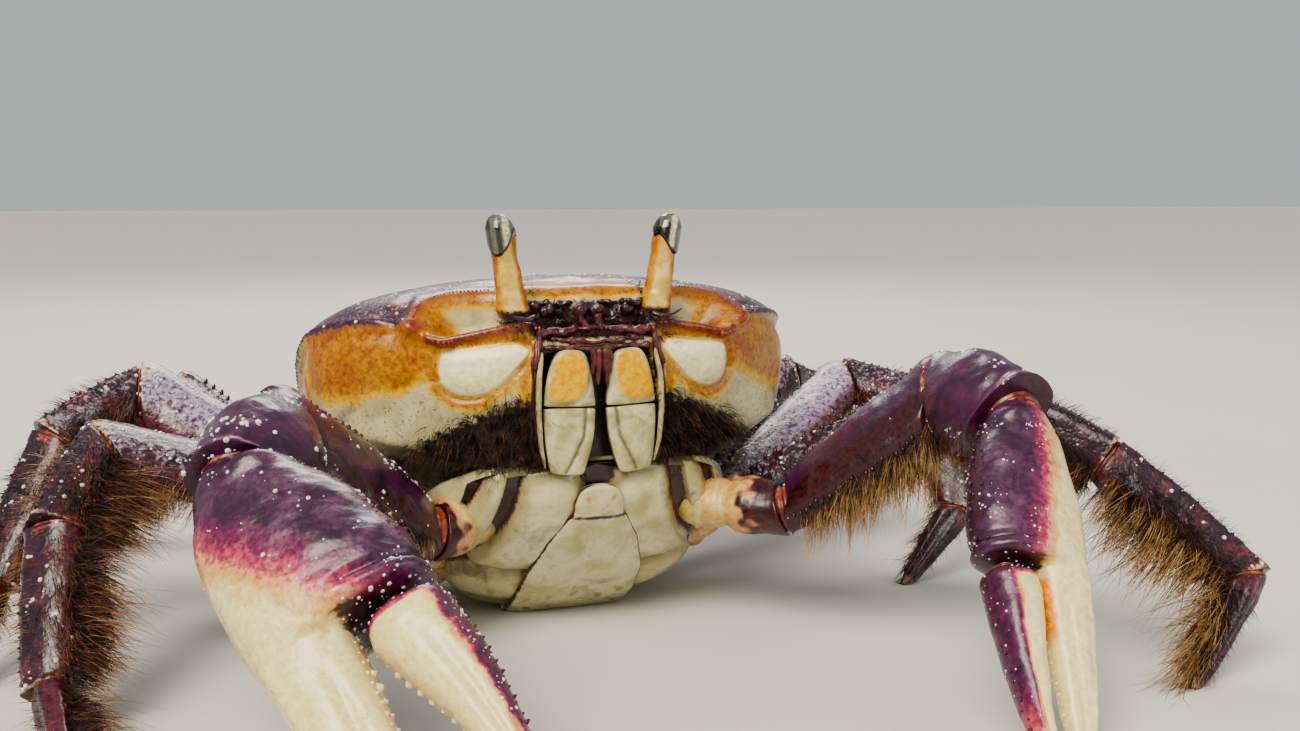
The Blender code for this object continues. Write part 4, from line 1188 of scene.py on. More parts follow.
# %% The tail flap
FLAP = np.array(((-9.6, -24.7, 1.6), (-9.0, -25.2, 3.0), (-7.6, -26.5, 3.9), (-6.2, -27.4, 3.9),
                 (-5.6, -27.7, 4.6), (-1, -29.3, 7.2), (6, -30.8, 9.4), (14, -31.1, 10.0),
                 (20.5, -30.3, 10.2), (26, -26.2, 10.2), (31, -21.9, 10.0), (35.2, -17.9, 9.4),
                 (36.8, -12.4, 8.6)))
walk = walked(FLAP[:, :2])
fine = np.linspace(0, walk[-1], 250)
flap = sampled(fine, walk, FLAP)
smoothed(flap[:, :2], 10)
smoothed(flap[:, 2], 3)
line = to_world(np.stack([0 * fine, flap[:, 0], flap[:, 1]], 1))
out = np.cross(side, unit(np.gradient(line, axis=0)))
turn = around(104, 0.5)
across, beside = squared(np.cos(turn), 2.6), squared(np.sin(turn), 3.0)
seams = [walk[3] + 0.35, *np.interp((10.5, 17.5, 23.0, 28.5, 33.0), flap[:, 0], fine)]
notch = np.max([hump(fine, s, 0.42) for s in seams], axis=0)
swell = np.sin(np.interp(fine, [0, *seams, fine[-1]], np.arange(8)) * math.pi) ** 2
tip = np.clip((np.abs(2 * fine / fine[-1] - 1) - 0.985) / 0.015, 0, 0.97)
ends = np.sqrt(1 - tip ** 2)
thick, proud = 1.1, 0.75
rings = rings_about(line - out * (thick - proud), out, np.outer(thick * ends, across),
                    side, np.outer(flap[:, 2] * (0.55 + 0.45 * ends), beside))
outer = step(across, 0.1, 0.6)[None]
relief = outer * (0.42 * swell[:, None] * (1 - 0.5 * beside ** 2)[None] - 0.55 * notch[:, None])
relief += outer * 0.06 * ripple(rings, 4.0, 37)
rings = rings + relief[..., None] * out[:, None]
rings[..., 2] = np.maximum(rings[..., 2], 0.0)
abdomen = lofted("tail_flap", rings)
edge = step(np.abs(beside), 0.93, 0.995)[None] * np.ones_like(relief)
spots = hump(np.hypot(np.abs(rings[..., 0]) - 1.9, rings[..., 2] - 21.6), 0, 0.8)
streaks = step(ripple(rings * (1, 1, 0.35), 2.6, 38), 0.1, 0.8) * step(rings[..., 2], 9.0, 4.0)
# Mud streaks low on the flap are stains; the darker seams and rims are painted shade.
stain = 0.85 * notch[:, None] * outer + 0.35 * step(edge, 0.2, 1) + 0.6 * streaks
first_seam = hump(fine, seams[0], 0.35)[:, None]
# Painted shade, darker still: the rims that lie against the breast, and the first seam.
paint(abdomen, soil=np.clip(0.75 * edge * (1 - outer) + 0.75 * first_seam, 0, 1),
      orange=np.clip(0.75 * spots + 0.25 * edge, 0, 1), shade=np.clip(stain, 0, 1))
keep(abdomen, "belly_shell", "abdomen", finish=BELLY)
print("seams of the tail flap, mm along it:", np.round(seams, 1))

# %% [markdown]
# ## Limb pieces
#
# A limb is a chain of hollow tubes with a hinge at each end, which turns about one axis only,
# square to the plane that the two tubes bend in. A tube is deepest in that plane, where the muscle
# pulls. So each piece is an oval loft set against its hinge axes, and where two pieces meet both
# are pressed back from the plane that halves their angle. The press leaves a rounded lip, and the
# soft membrane shows in the groove.

# %% Limb lofts
def towards(heading, pitch):
    """A direction from its heading, in degrees from +X, and its pitch over the floor."""
    turn, climb = math.radians(heading), math.radians(pitch)
    return np.array([math.cos(turn) * math.cos(climb), math.sin(turn) * math.cos(climb), math.sin(climb)])


def hinge_sides(ways):
    """Each piece's hinge axis, square to the plane that it bends in with its neighbours."""
    bends = [np.cross(a, b) for a, b in zip(ways[1:], ways[2:])]
    return [bends[0], bends[0]] + [a + b for a, b in zip(bends, bends[1:])] + [bends[-1]]


def eased(place, places, values, blur):
    """Values between knots, rounded over `blur` at each knot."""
    return np.mean([np.interp(place + shift, places, values)
                    for shift in np.linspace(-blur, blur, 7)], axis=0)


def limb(start, end, side, shape, scale, count, rows, domed_end=True, power=2.3):
    """Rings of one limb piece, with each point's part of the way along, turn and way out."""
    height, width, outline = shape
    height, width = height * scale, width * scale
    along = unit(end - start)
    side = unit(side - along * side.dot(along))
    up = np.cross(side, along)
    reach = float(np.linalg.norm(end - start))
    dome = 0.98 * height
    place = np.linspace(-dome, reach + dome * domed_end, rows)
    size = eased(place / reach, *np.transpose(outline), 0.08)
    for beyond in (np.minimum(place, 0), np.maximum(place - reach, 0)):
        size = size * np.sqrt(np.clip(1 - (beyond / height) ** 2, 0.02, 1))
    turn = around(count, 0.5)
    rings = rings_about(start + place[:, None] * along,
                        up, np.outer(size * height, squared(np.cos(turn), power)),
                        side, np.outer(size * width, squared(np.sin(turn), power)))
    out = np.cos(turn)[:, None] * up + np.sin(turn)[:, None] * side
    return {"rings": rings, "place": (place / reach)[:, None] + 0 * turn, "turn": turn, "up": up,
            "out": np.broadcast_to(out, rings.shape), "along": along, "reach": reach}


def fitted(rings, joints, ways, i, gap, soft):
    """Presses piece `i` of a limb back from the planes that halve its angles with the next ones."""
    if i > 0:
        rings = held_back(rings, joints[i], -unit(ways[i - 1] + ways[i]), gap, soft)
    if i + 1 < len(ways):
        rings = held_back(rings, joints[i + 1], unit(ways[i] + ways[i + 1]), gap, soft)
    return rings


# Each piece of a leg: half depth, half width, and its outline as (part of the way, share of both).
LEG_SHAPES = {
    "hip": (3.7, 2.8, ((0, 0.9), (0.5, 0.95), (1, 1))),
    "merus": (5.3, 3.1, ((0, 0.66), (0.25, 0.88), (0.6, 1), (1, 0.93))),
    "carpus": (4.6, 3.3, ((0, 0.9), (0.5, 1), (1, 0.93))),
    "propodus": (4.0, 2.7, ((0, 0.95), (0.35, 1), (0.75, 0.9), (1, 0.8))),
    "dactylus": (2.9, 2.1, ((0, 1), (0.35, 0.8), (0.75, 0.5), (1, 0.28))),
}
# Each leg: where its hip is, then length, heading and pitch of each piece; the foot finds the floor.
LEGS = {
    "right_1": ((-17.5, -21.0, 15.0), (12.3, 173, 19), (41.1, 176, 16), (16.2, 247, -30),
                (21.9, 267, -48), (24.5, 279)),
    "right_2": ((-18.0, -14.5, 10.0), (14.5, 161, 18), (41.6, 154, 30), (14.5, 204, -25),
                (23.2, 234, -54), (22.7, 253)),
    "right_3": ((-17.0, -7.5, 5.6), (13.6, 151, 18), (43.0, 141, 30), (16.0, 140, -13),
                (25.9, 143, -40), (17.0, 127)),
    "right_4": ((-14.0, -0.5, 4.2), (11.9, 139, 13), (34.0, 142, 23), (12.6, 136, -11),
                (19.3, 130, -31), (13.0, 120)),
    "left_1": ((17.5, -21.0, 15.0), (12.2, -18, 19), (38.8, -37, 25), (19.4, -47, -24),
               (24.3, -48, -37), (18.6, 202)),
    "left_2": ((18.0, -14.5, 10.0), (14.2, 20, 21), (39.8, 30, 24), (18.6, -46, -14),
               (20.5, -109, -51), (16.9, 199)),
    "left_3": ((17.0, -7.5, 5.6), (13.6, 29, 18), (38.3, 37, 32), (17.5, 40, -20),
               (25.7, 36, -30), (17.5, 51)),
    "left_4": ((14.0, -0.5, 4.2), (11.9, 41, 12), (34.2, 39, 23), (12.5, 36, -12),
               (18.8, 40, -32), (13.0, 50)),
}


def limb_joints(hip, poses, foot=None):
    """The hinges from hip to toe tip, and the way from each to the next."""
    joints = [np.array(hip, float)]
    for length, heading, pitch in poses:
        joints.append(joints[-1] + length * towards(heading, pitch))
    if foot:
        drop = math.degrees(math.asin(joints[-1][2] / foot[0]))
        joints.append(joints[-1] + foot[0] * towards(foot[1], -drop))
    return joints, [unit(b - a) for a, b in zip(joints, joints[1:])]


print("legs:", len(LEGS), " pieces of each:", *LEG_SHAPES)

# %% [markdown]
# ## The claws
#
# A claw is the first leg grown large: a dark, domed wrist on a three-edged arm, and a hand whose
# lower part runs on into the fixed finger while the upper finger hinges at its end. The hand is a
# loft through measured depths, like the ribs of a hull, and its drop behind the hinge is simply a
# steep step in the upper line. Colour follows the hand's own axes: violet on the upper edge and at
# the wrist, ivory on the lower edge and the fingers.

# %% Claw sizes
CLAW_SHAPES = {
    "hip": (4.2, 3.8, ((0, 0.9), (0.5, 0.97), (1, 1))),
    "merus": (7.0, 4.4, ((0, 0.56), (0.25, 0.84), (0.6, 1.02), (1, 0.98))),
    "carpus": (7.2, 6.5, ((0, 0.85), (0.45, 1.08), (1, 0.85))),
}
# Each claw: its hip, then length, heading and pitch of three pieces, the hand's length, the ways
# along it and up it, its thickness beside the great claw's, and how far its finger is closed.
CLAWS = {
    "right": ((-12.5, -26.0, 18.5), (11.7, 189, -4), (29.1, 205, 35), (14.4, 244, -12),
              57.3, (0.257, -0.798, -0.546), (0.843, -0.034, 0.537), 1.0, 0.0),
    "left": ((12.5, -26.0, 18.5), (18.5, -33, 1), (29.7, -37, 38), (14.5, -84, -3),
             49.7, (-0.205, -0.645, -0.736), (-0.975, 0.043, 0.216), 0.7, 7.0),
}
# Sections of the hand: place along it, lower edge, upper edge, half thickness.
PALM = np.array(((-3.5, -2.0, 2.4, 2.4), (-1.5, -4.4, 4.4, 4.4), (1, -6.0, 6.2, 5.4), (6, -7.9, 9.0, 6.4),
                 (12, -8.7, 11.9, 7.0), (20, -8.5, 14.0, 7.2), (25, -7.9, 14.4, 6.8),
                 (27, -7.6, 13.6, 6.2), (27.6, -7.5, 4.0, 5.4), (31, -7.0, 3.6, 4.8),
                 (36, -6.3, 3.3, 4.2), (43, -4.9, 3.0, 3.5), (50, -3.0, 2.6, 2.5), (55, -1.2, 2.2, 1.6),
                 (57.8, 0.3, 1.6, 0.7)))
FINGER = np.array(((28.1, 6.2, 12.4, 2.6), (29.2, 5.0, 13.9, 4.4), (32, 4.7, 14.8, 5.0),
                   (37, 6.4, 15.2, 4.6), (43, 8.4, 15.1, 4.0), (49, 9.9, 14.7, 3.2),
                   (55, 10.7, 13.6, 2.2), (59.4, 10.9, 12.1, 0.8)))
HINGE = np.array((28.0, 10.0))
HAND_LENGTH = 57.5
# Where a palm's violet ends: its place low down, its slant, the height that it slants from, how
# wide it blends, and its least place on the upper edge.
FADES = {"right": (9.0, 1.25, 7.0, 19.0, 26.0), "left": (-14.0, 2.9, 8.0, 32.0, 30.0)}
# Amber between the fingers, granules, the upper edge's spines and their spacing, and the heights
# between which the finger turns violet.
HANDS = {"right": (0.25, 0.55, 0.5, 1.9, 0.42, 0.92), "left": (0.9, 1.0, 0.62, 1.55, 0.10, 0.62)}
# Rows of spines on the arm: turn, first and last place, radius, spacing, height.
ARM_SPINES = {
    "right": ((math.pi, 0.1, 0.95, 0.6, 1.3, 1.5), (math.pi * 0.85, 0.1, 0.95, 0.45, 1.1, 1.2),
              (math.pi * 1.15, 0.2, 0.95, 0.45, 1.1, 1.2), (0.4, 0.05, 0.9, 0.4, 1.1, 1.2)),
    "left": ((math.pi, 0.1, 0.95, 0.62, 1.3, 1.5), (math.pi * 0.87, 0.1, 0.92, 0.45, 1.1, 1.2),
             (math.pi * 1.13, 0.2, 0.92, 0.42, 1.1, 1.2), (0.35, 0.05, 0.9, 0.55, 1.1, 1.2),
             (-0.35, 0.05, 0.9, 0.55, 1.1, 1.2), (0.62, 0.1, 0.9, 0.4, 1.0, 1.0))}
FRONT = unit((-0.30, -0.94, 0.12))
print("hand lengths, mm:", [claw[4] for claw in CLAWS.values()])

# %% The hand's loft
def hand_rings(sections, parts, count, rows, close=0.0):
    """Rings of a palm or finger, and where each point lies in the hand; the front is +1 beside."""
    along, up, size = parts["ways"][3], parts["up"], parts["size"]
    side = np.cross(along, up)
    place = np.linspace(sections[0, 0], sections[-1, 0], rows)
    low, high, thick = [eased(place, sections[:, 0], sections[:, k], 0.45) for k in (1, 2, 3)]
    shut = 1.0
    for beyond in (place - place[0], place[-1] - place):
        shut = shut * np.sqrt(np.clip(1 - (1 - np.clip(beyond / 1.6, 0, 1)) ** 2, 0.02, 1))
    middle, half = (low + high) / 2, (high - low) / 2 * shut
    turn = around(count, 0.5)
    over, beside = squared(np.cos(turn), 2.3), squared(np.sin(turn), 2.3)
    flat = np.stack([place * parts["length"] / HAND_LENGTH / size, middle], 1) - HINGE
    cos, sin = math.cos(math.radians(-close)), math.sin(math.radians(-close))
    flat = flat @ np.array([[cos, sin], [-sin, cos]]) + HINGE
    rings = rings_about(parts["joints"][3] + (flat[:, :1] * along + flat[:, 1:] * up) * size,
                        up, np.outer(half * size, over), side, np.outer(thick * shut * size, beside))
    out = np.cos(turn)[:, None] * up + np.sin(turn)[:, None] * side
    same = 0 * rings[..., 0]
    return {"rings": rings, "place": place[:, None] + same, "turn": turn, "over": over + same,
            "beside": parts["seen"] * beside + same, "out": np.broadcast_to(out, rings.shape),
            "height": middle[:, None] + np.outer(half, over)}


def edge_path(body, angle, low, high, swing=0.0):
    """A path along a limb at one turn round it, and the way that is outward there."""
    count = len(body["turn"])
    rows = np.where((body["place"][:, 0] >= low) & (body["place"][:, 0] <= high))[0][::2]
    shift = np.rint(swing * np.sin(np.arange(len(rows)) * 0.9)).astype(int)
    columns = (round(angle / (2 * math.pi) * count) + shift) % count
    return body["rings"][rows, columns], body["out"][rows, columns]

# %% Arms and wrists
claw_parts = {}
studs = {"left": [], "right": []}
for word, (hip, *poses, length, along, up, size, close) in CLAWS.items():
    joints, ways = limb_joints(hip, poses)
    along = unit(along)
    up = unit(np.array(up) - along * np.dot(up, along))
    ways.append(along)
    parts = claw_parts[word] = {
        "joints": joints, "ways": ways, "sides": hinge_sides(ways), "up": up, "length": length,
        "scale": 0.92 + 0.08 * size, "size": size, "close": close, "seen": -1 if word == "left" else 1}
    for i, kind in enumerate(("hip", "merus", "carpus")):
        root = joints[i] + (0.36 * (joints[1] - joints[0]) + (0, 3.6, 0) if i == 0 else 0)
        body = parts[kind] = limb(root, joints[i + 1], parts["sides"][i], CLAW_SHAPES[kind],
                                  parts["scale"], 88, 104)
        rings, out, part = body["rings"], body["out"], body["place"]
        back = -np.cos(body["turn"]) + 0 * part
        facing = out @ FRONT
        relief = 0.10 * ripple(rings, 5.0, 51) + 0.05 * ripple(rings, 1.8, 52)
        if kind == "merus":
            relief += 0.9 * step(back, 0.75, 1.0) + 0.6 * hump(back, -0.75, 0.25) * step(facing, -0.2, 0.4)
            relief -= 0.9 * hump(facing, 0.95, 0.35) * hump(part, 0.5, 0.42)
            relief += 0.7 * hump(part, 1.0, 0.09) * step(back, -0.2, 0.6)
        elif kind == "carpus":
            relief += 0.35 * step(back, 0.2, 0.9) - 0.5 * hump(part, 0.97, 0.08) * step(back, -0.5, 0.5)
        else:
            relief += 0.45 * hump(part, 0.62, 0.13) - 0.5 * hump(part, 0.36, 0.07)
        body["rings"] = fitted(rings + out * relief[..., None], joints, ways, i, 0.35, 0.6)
        body["object"] = obj = lofted(f"claw_{word}_{kind}_shell", body["rings"])
        if kind == "hip":
            far = part if word == "left" else part * 0.8
            blotch = ripple(rings, 3.0, 53)
            paint(obj, orange=0.25 * step(blotch, -0.2, 0.6), fade=0.68 - 0.11 * step(far, 0.3, 0.75),
                  wine=0.9 * step(far + 0.12 * blotch, 0.42, 0.8))
            keep(obj, "joint_shell", f"claw_{word}_hip", finish=CLAW)
            continue
        inner = step(facing, 0.25, 0.75) * step(part, -0.1, 0.15) * (kind == "merus")
        inner = inner * (0.75 if word == "right" else 1.0)
        lit = step(out[..., 2], 0.0, 0.9)
        fade = 0.16 * step(facing, 0.5, 0.95) * (kind == "carpus") + 0.32 * hump(part, 1.05, 0.10)
        grain = step(back, -0.1, 0.7) * (0.9 if kind == "carpus" else 0.8) + 0.6 * hump(back, -0.8, 0.3)
        # Painted highlight: the bloom grows where the piece faces up, lit from above; painted shade darkens
        # its root at the joint.
        paint(obj, fade=np.clip(fade, 0, 1), bloom=(0.05 + 0.3 * lit) * (1 - inner), wine=inner,
              soil=0.5 * hump(part, 0.0, 0.05),
              chalk=grain * (1 - inner) * np.clip(0.1 + 2.2 * ripple(rings, 6.0, 57), 0, 2.5))
        keep(obj, "claw_shell", f"claw_{word}_{kind}", finish=CLAW)
    for angle, low_end, high_end, radius, spacing, tall in ARM_SPINES[word]:
        path = edge_path(parts["merus"], angle, low_end, high_end, swing=1.5)
        studs[word].append(studded(HORN, *path, radius, spacing, tall, int(angle * 10), uneven=0.45))
print("arms, mm:", [round(parts["merus"]["reach"]) for parts in claw_parts.values()])

# %% Palms and fingers
for word, parts in claw_parts.items():
    size = parts["size"]
    start_at, slant, low_at, blend, least = FADES[word]
    amber, salt, thorn, apart, dye_from, dye_to = HANDS[word]
    palm = parts["palm"] = hand_rings(PALM, parts, 116, 200)
    rings, out, p, h, over, beside = map(palm.get, ("rings", "out", "place", "height", "over", "beside"))
    border = start_at + (h + low_at) * slant + 1.6 * ripple(rings, 9.0, 61)
    border = np.where(h > 8.5, np.maximum(border, least), border)
    fade = 0.04 + 0.84 * np.clip((p - border) / blend + 0.47, 0, 1)
    fade = np.where(p > 27.4, np.maximum(fade, 0.62 + 0.3 * step(p, 28, 34)), fade)
    knob = hump(np.hypot((p - 2.4) / 1.5, (over - 0.45) / 0.4), 0, 1.15) * step(beside, -0.2, 0.5)
    relief = 0.16 * ripple(rings, 7.0, 62) + 0.05 * ripple(rings, 2.0, 63) + 1.1 * knob
    relief -= 0.55 * hump(h, 0.2, 0.9) * step(p, 30, 36) * step(p, 56, 50) * step(np.abs(beside), 0.5, 0.9)
    relief += 0.35 * hump(over, -0.72, 0.16) * step(p, 10, 22) * step(beside, 0.0, 0.4)
    relief += 0.5 * hump(p, 26.2, 0.9) * step(h, 3, 5) - 0.7 * hump(p, 24.6, 0.5) * step(h, 4, 6)
    rings = fitted(rings + out * relief[..., None] * size, parts["joints"], parts["ways"], 3, 0.35, 0.5)
    palm["rings"] = rings = floored(rings)
    palm["object"] = obj = lofted(f"claw_{word}_palm_shell", rings)
    notch = step(p, 26.7, 27.3) * step(p, 30.0, 27.9) * step(h, 2.0, 4.0)
    grain = step(fade, 0.75, 0.45) * salt + 0.04
    grain *= np.where(over > 0.3, 1.0, 0.6) if word == "right" else 1.0
    # Painted highlight: the bloom grows on the upper side; painted shade lies in the notch behind the
    # finger's hinge and in the groove across the hand.
    paint(obj, fade=fade, bloom=0.3 + 0.6 * step(out[..., 2], -0.1, 0.9),
          orange=amber * step(over, 0.55, 0.9) * step(p, 28, 31) * step(p, 43, 36),
          soil=np.clip(0.8 * notch + 0.6 * hump(p, 24.6, 0.35) * step(h, 4, 6), 0, 1),
          chalk=grain * np.clip(0.1 + 2.0 * ripple(rings, 5.0, 67), 0, 2.5) + 0.8 * notch)
    keep(obj, "claw_shell", f"claw_{word}_palm", finish=CLAW)

    finger = parts["finger"] = hand_rings(FINGER, parts, 84, 144, parts["close"])
    rings, out, p, over, beside = map(finger.get, ("rings", "out", "place", "over", "beside"))
    relief = 0.10 * ripple(rings, 6.0, 64) + 0.05 * ripple(rings, 1.8, 65)
    relief -= 0.45 * hump(over, 0.15, 0.22) * step(p, 33, 38) * step(p, 57, 50) * step(beside, 0.1, 0.6)
    relief += 0.45 * hump(p, 30.2, 1.2) * step(over, 0.0, 0.8)
    finger["rings"] = rings = floored(rings + out * relief[..., None] * size)
    finger["object"] = obj = lofted(f"claw_{word}_finger_shell", rings)
    dye = 0.92 - 0.74 * step(over + 0.10 * ripple(rings, 4.0, 66), dye_from, dye_to)
    dye = dye + 0.35 * step(p, 44, 54) * (dye < 0.5)
    dye = np.where(p < 30.5, np.minimum(dye, 0.25 + 0.4 * step(p, 29, 31)), dye)
    # Painted shade darkens the finger's root at its hinge.
    paint(obj, fade=dye, bloom=0.4 + 0 * p, chalk=step(dye, 0.6, 0.3) * 0.8 + 0.03,
          orange=0.35 * step(over, -0.5, -0.9) * step(p, 30, 33) * step(p, 46, 40),
          soil=0.7 * step(p, 29.3, 28.3))
    keep(obj, "finger_shell", f"claw_{word}_finger", finish=CLAW)
    for body, angle, low_end, high_end, radius, spacing, tall in (
            (palm, 0.02, 3, 25.5, thorn, apart, 1.6), (palm, 0.30, 4, 25.0, 0.36, 1.2, 1.2),
            (palm, -0.30, 4, 25.0, 0.36, 1.2, 1.2), (finger, 0.03, 30, 52.0, 0.42, 1.3, 1.4)):
        points, lean = edge_path(body, angle, low_end, high_end, swing=1.0)
        big = 0.7 + 0.3 * np.sin(np.arange(len(points)) * 0.8)
        studs[word].append(studded(HORN, points, lean, radius, spacing, tall, low_end + 3, big, 0.35))
keep(joined("claw_spines", studs["left"] + studs["right"]), "claw_shell")

# %% [markdown]
# ### Teeth and granules of the claws
#
# The fingers bite with low rounded teeth of the same ivory, the largest a third of the way along.
# The violet parts are salted with granules of worn chalk, dense on the wrist and the back of the
# hand, so the granule tree reads a mask there.

# %% Teeth
teeth = []
for word in ("left", "right"):
    parts = claw_parts[word]
    for kind, angle, low_end, high_end in (("palm", 0.0, 29.5, 54.0), ("finger", math.pi, 31.5, 56.0)):
        for shift, radius, spacing in ((0.0, 0.78, 1.75), (0.25, 0.45, 1.3)):
            points, lean = edge_path(parts[kind], angle + shift, low_end, high_end)
            run = np.linspace(0, 1, len(points))
            big = (0.45 + 0.55 * hump(run, 0.28, 0.16) + 0.3 * hump(run, 0.6, 0.1)) * parts["size"]
            teeth.append(studded(IVORY_TEETH, points, lean, radius, spacing * parts["size"], 0.9, 9,
                                 big, detail=2))
keep(joined("claw_teeth", teeth), "finger_shell")

# %% Granules of the claws
GRAINS = (("merus", 0.9, 0.10, 0.42), ("carpus", 1.1, 0.12, 0.46), ("palm", 0.8, 0.08, 0.34),
          ("finger", 0.7, 0.08, 0.28))
for word, share, coarse in (("left", 0.5, 0.7), ("right", 1.0, 1.0)):
    grains = [granules(claw_parts[word][kind]["object"], density * share, small, large * coarse)
              for kind, density, small, large in GRAINS]
    keep(joined(f"claw_{word}_granules", grains), "claw_shell")

# %% [markdown]
# ## Walking legs
#
# Eight legs of five pieces each. They share one recipe: a long flat thigh (merus) with a spiny
# upper edge, a short knee (carpus), a shin (propodus) with two raised keels, and a fluted toe
# (dactylus) that ends in a horny point. A lavender bloom is painted paler as a highlight where a
# piece faces up, and painted shade darkens the root of each piece at its joint.

# %% Leg pieces
# How strong each leg's painted highlight is, and how dense its granules.
WEAR = {"right_1": (0.55, 0.35), "right_2": (1.0, 0.55), "right_3": (0.6, 0.25), "right_4": (0.5, 0.2),
        "left_1": (0.35, 0.3), "left_2": (1.0, 0.9), "left_3": (0.6, 0.25), "left_4": (0.5, 0.2)}
# How strong the painted highlight is on each kind of piece.
KIND_BLOOM = {"merus": 1.0, "carpus": 0.4, "propodus": 0.2, "dactylus": 0.2}
# Rows of spines: turn, radius, spacing, height.
LEG_SPINES = {
    "merus": ((math.pi, 0.55, 1.7, 1.9), (0.5, 0.3, 1.5, 1.4), (-0.5, 0.3, 1.5, 1.4)),
    "carpus": ((math.pi - 0.75, 0.32, 1.5, 1.5), (math.pi + 0.75, 0.32, 1.5, 1.5)),
    "propodus": ((math.pi - 0.75, 0.3, 1.6, 1.4), (math.pi + 0.75, 0.3, 1.6, 1.4))}
legs = {}
spine_rows = []
for name, (hip, *poses, foot) in LEGS.items():
    joints, ways = limb_joints(hip, poses, foot)
    scale = 0.8 if name.endswith("4") else 1.0
    parts = legs[name] = {"joints": joints, "ways": ways, "sides": hinge_sides(ways), "scale": scale}
    for i, (kind, shape) in enumerate(LEG_SHAPES.items()):
        last = kind == "dactylus"
        root = joints[i] + (0.3 * (joints[1] - joints[0]) if i == 0 else 0)
        body = parts[kind] = limb(root, joints[i + 1] + 0.6 * last * ways[i], parts["sides"][i], shape,
                                  scale, 46, 74 if kind in ("merus", "propodus") else 52,
                                  domed_end=not last, power=2.2)
        rings, out, part = body["rings"], body["out"], body["place"]
        turn = body["turn"] + 0 * part
        back = -np.cos(turn)
        relief = 0.10 * ripple(rings, 4.0, 71) + 0.05 * ripple(rings, 1.5, 72)
        if kind == "merus":
            relief += 0.55 * step(back, 0.85, 1.0) - 0.25 * hump(back, 0.35, 0.3)
            relief += 0.3 * hump(part, 0.97, 0.06)
        elif kind in ("carpus", "propodus"):
            keels = hump(np.cos(turn - 2.35), 1, 0.06) + hump(np.cos(turn + 2.35), 1, 0.06)
            relief += 0.35 * keels - 0.25 * hump(back, 1.0, 0.10)
        elif kind == "dactylus":
            relief += 0.22 * np.cos(6 * turn) * step(part, 0.0, 0.15) * step(part, 1.0, 0.8)
        else:
            relief += 0.4 * hump(part, 0.7, 0.12) - 0.5 * hump(part, 0.45, 0.08)
        pressed = fitted(rings + out * (relief * scale)[..., None], joints, ways, i, 0.28, 0.45)
        body["rings"] = floored(pressed)
        body["object"] = obj = lofted(f"leg_{name}_{kind}_shell", body["rings"])
        if kind == "hip":
            # Painted shade lies in the groove round the hip.
            paint(obj, wine=0.35 * step(part, 0.6, 0.9), pale=1 - 0.75 * step(part, 0.6, 1.0),
                  soil=0.7 * hump(part, 0.45, 0.06), chalk=0 * part + 0.2)
            keep(obj, "joint_shell", f"leg_{name}_hip", finish=LEG)
            continue
        salt = (0.25 + 0.75 * step(back, -0.4, 0.6)) * step(part, 1.05, 1.0)
        # Painted highlight: the bloom lies where a piece faces up; painted shade darkens its root at the
        # joint.
        paint(obj, bloom=WEAR[name][0] * KIND_BLOOM[kind] * step(out[..., 2], -0.15, 0.85),
              wine=0.7 * step(back, -0.1, -0.8), pale=0.55 * hump(part, 1.03, 0.06) * (not last),
              horn=step(part, 0.8, 1.0) * last, soil=0.55 * hump(part, -0.02, 0.05),
              chalk=salt * np.clip(0.1 + 2.0 * ripple(rings, 5.0, 73), 0, 2.5))
        keep(obj, "leg_shell", f"leg_{name}_{kind}", finish=LEG)
    for kind, rows in LEG_SPINES.items():
        for angle, radius, spacing, tall in rows:
            points, lean = edge_path(parts[kind], angle, 0.08, 0.95, swing=0.6)
            spine_rows.append(studded(HORN, points, lean + parts[kind]["along"] * 0.4,
                                      radius * scale, spacing, tall, 5))
    print("leg", name, "knee", np.round(joints[2]), "foot", np.round(joints[-1], 1))
keep(joined("leg_spines", spine_rows), "leg_shell")

# %% Granules of the legs and of the back
for word in ("left", "right"):
    grains = [granules(legs[name][kind]["object"], WEAR[name][1] * share * 1.8, 0.09, 0.40, seed=4)
              for name in sorted(legs) if name.startswith(word)
              for kind, share in (("merus", 1.0), ("carpus", 0.8), ("propodus", 0.6))]
    keep(joined(f"legs_{word}_granules", grains), "leg_shell")
cover = granules(carapace, 0.42, 0.08, 0.32, 0.7, 6)
cover.name = cover.data.name = "carapace_granules"
keep(cover, "carapace_shell")

# %% [markdown]
# ## Joint membranes
#
# At each hinge the tubes are tied by soft skin, folded like a bellows. Each membrane is a short
# pleated sleeve centred on the joint, a little slimmer than the plates, so that it shows as a
# peach or blood-red line in the groove and fills the gap on the inside of the bend.

# %% Pleated sleeves
def sleeve(joint, before, after, side, high, wide, reach, pleats=3):
    """A pleated sleeve across a joint, in line with the plane that halves the bend."""
    way = unit(before + after)
    side = unit(side - way * side.dot(way))
    part = np.linspace(-1, 1, 26)
    swell = np.sqrt(np.clip(1 - part ** 4, 0.02, 1)) * (1 + 0.05 * np.cos(part * math.pi * pleats * 2))
    turn = around(28)
    rings = rings_about(joint + np.outer(part * reach, way),
                        np.cross(side, way), np.outer(swell * high, np.cos(turn)),
                        side, np.outer(swell * wide, np.sin(turn)))
    return lofted("sleeve", rings + unit(rings - joint) * (0.06 * ripple(rings, 1.4, 81))[..., None])


def limb_sleeves(parts, sizes, reach, ends=1.0):
    """A sleeve after each piece of a limb; the last is `ends` times as large as its sizes say."""
    made = []
    for i, (high, wide) in enumerate(sizes):
        scale = parts["scale"] * (ends if i == len(sizes) - 1 else 1)
        made.append(sleeve(parts["joints"][i + 1], *parts["ways"][i:i + 2], parts["sides"][i + 1],
                           high * scale, wide * scale, reach * scale))
    return made


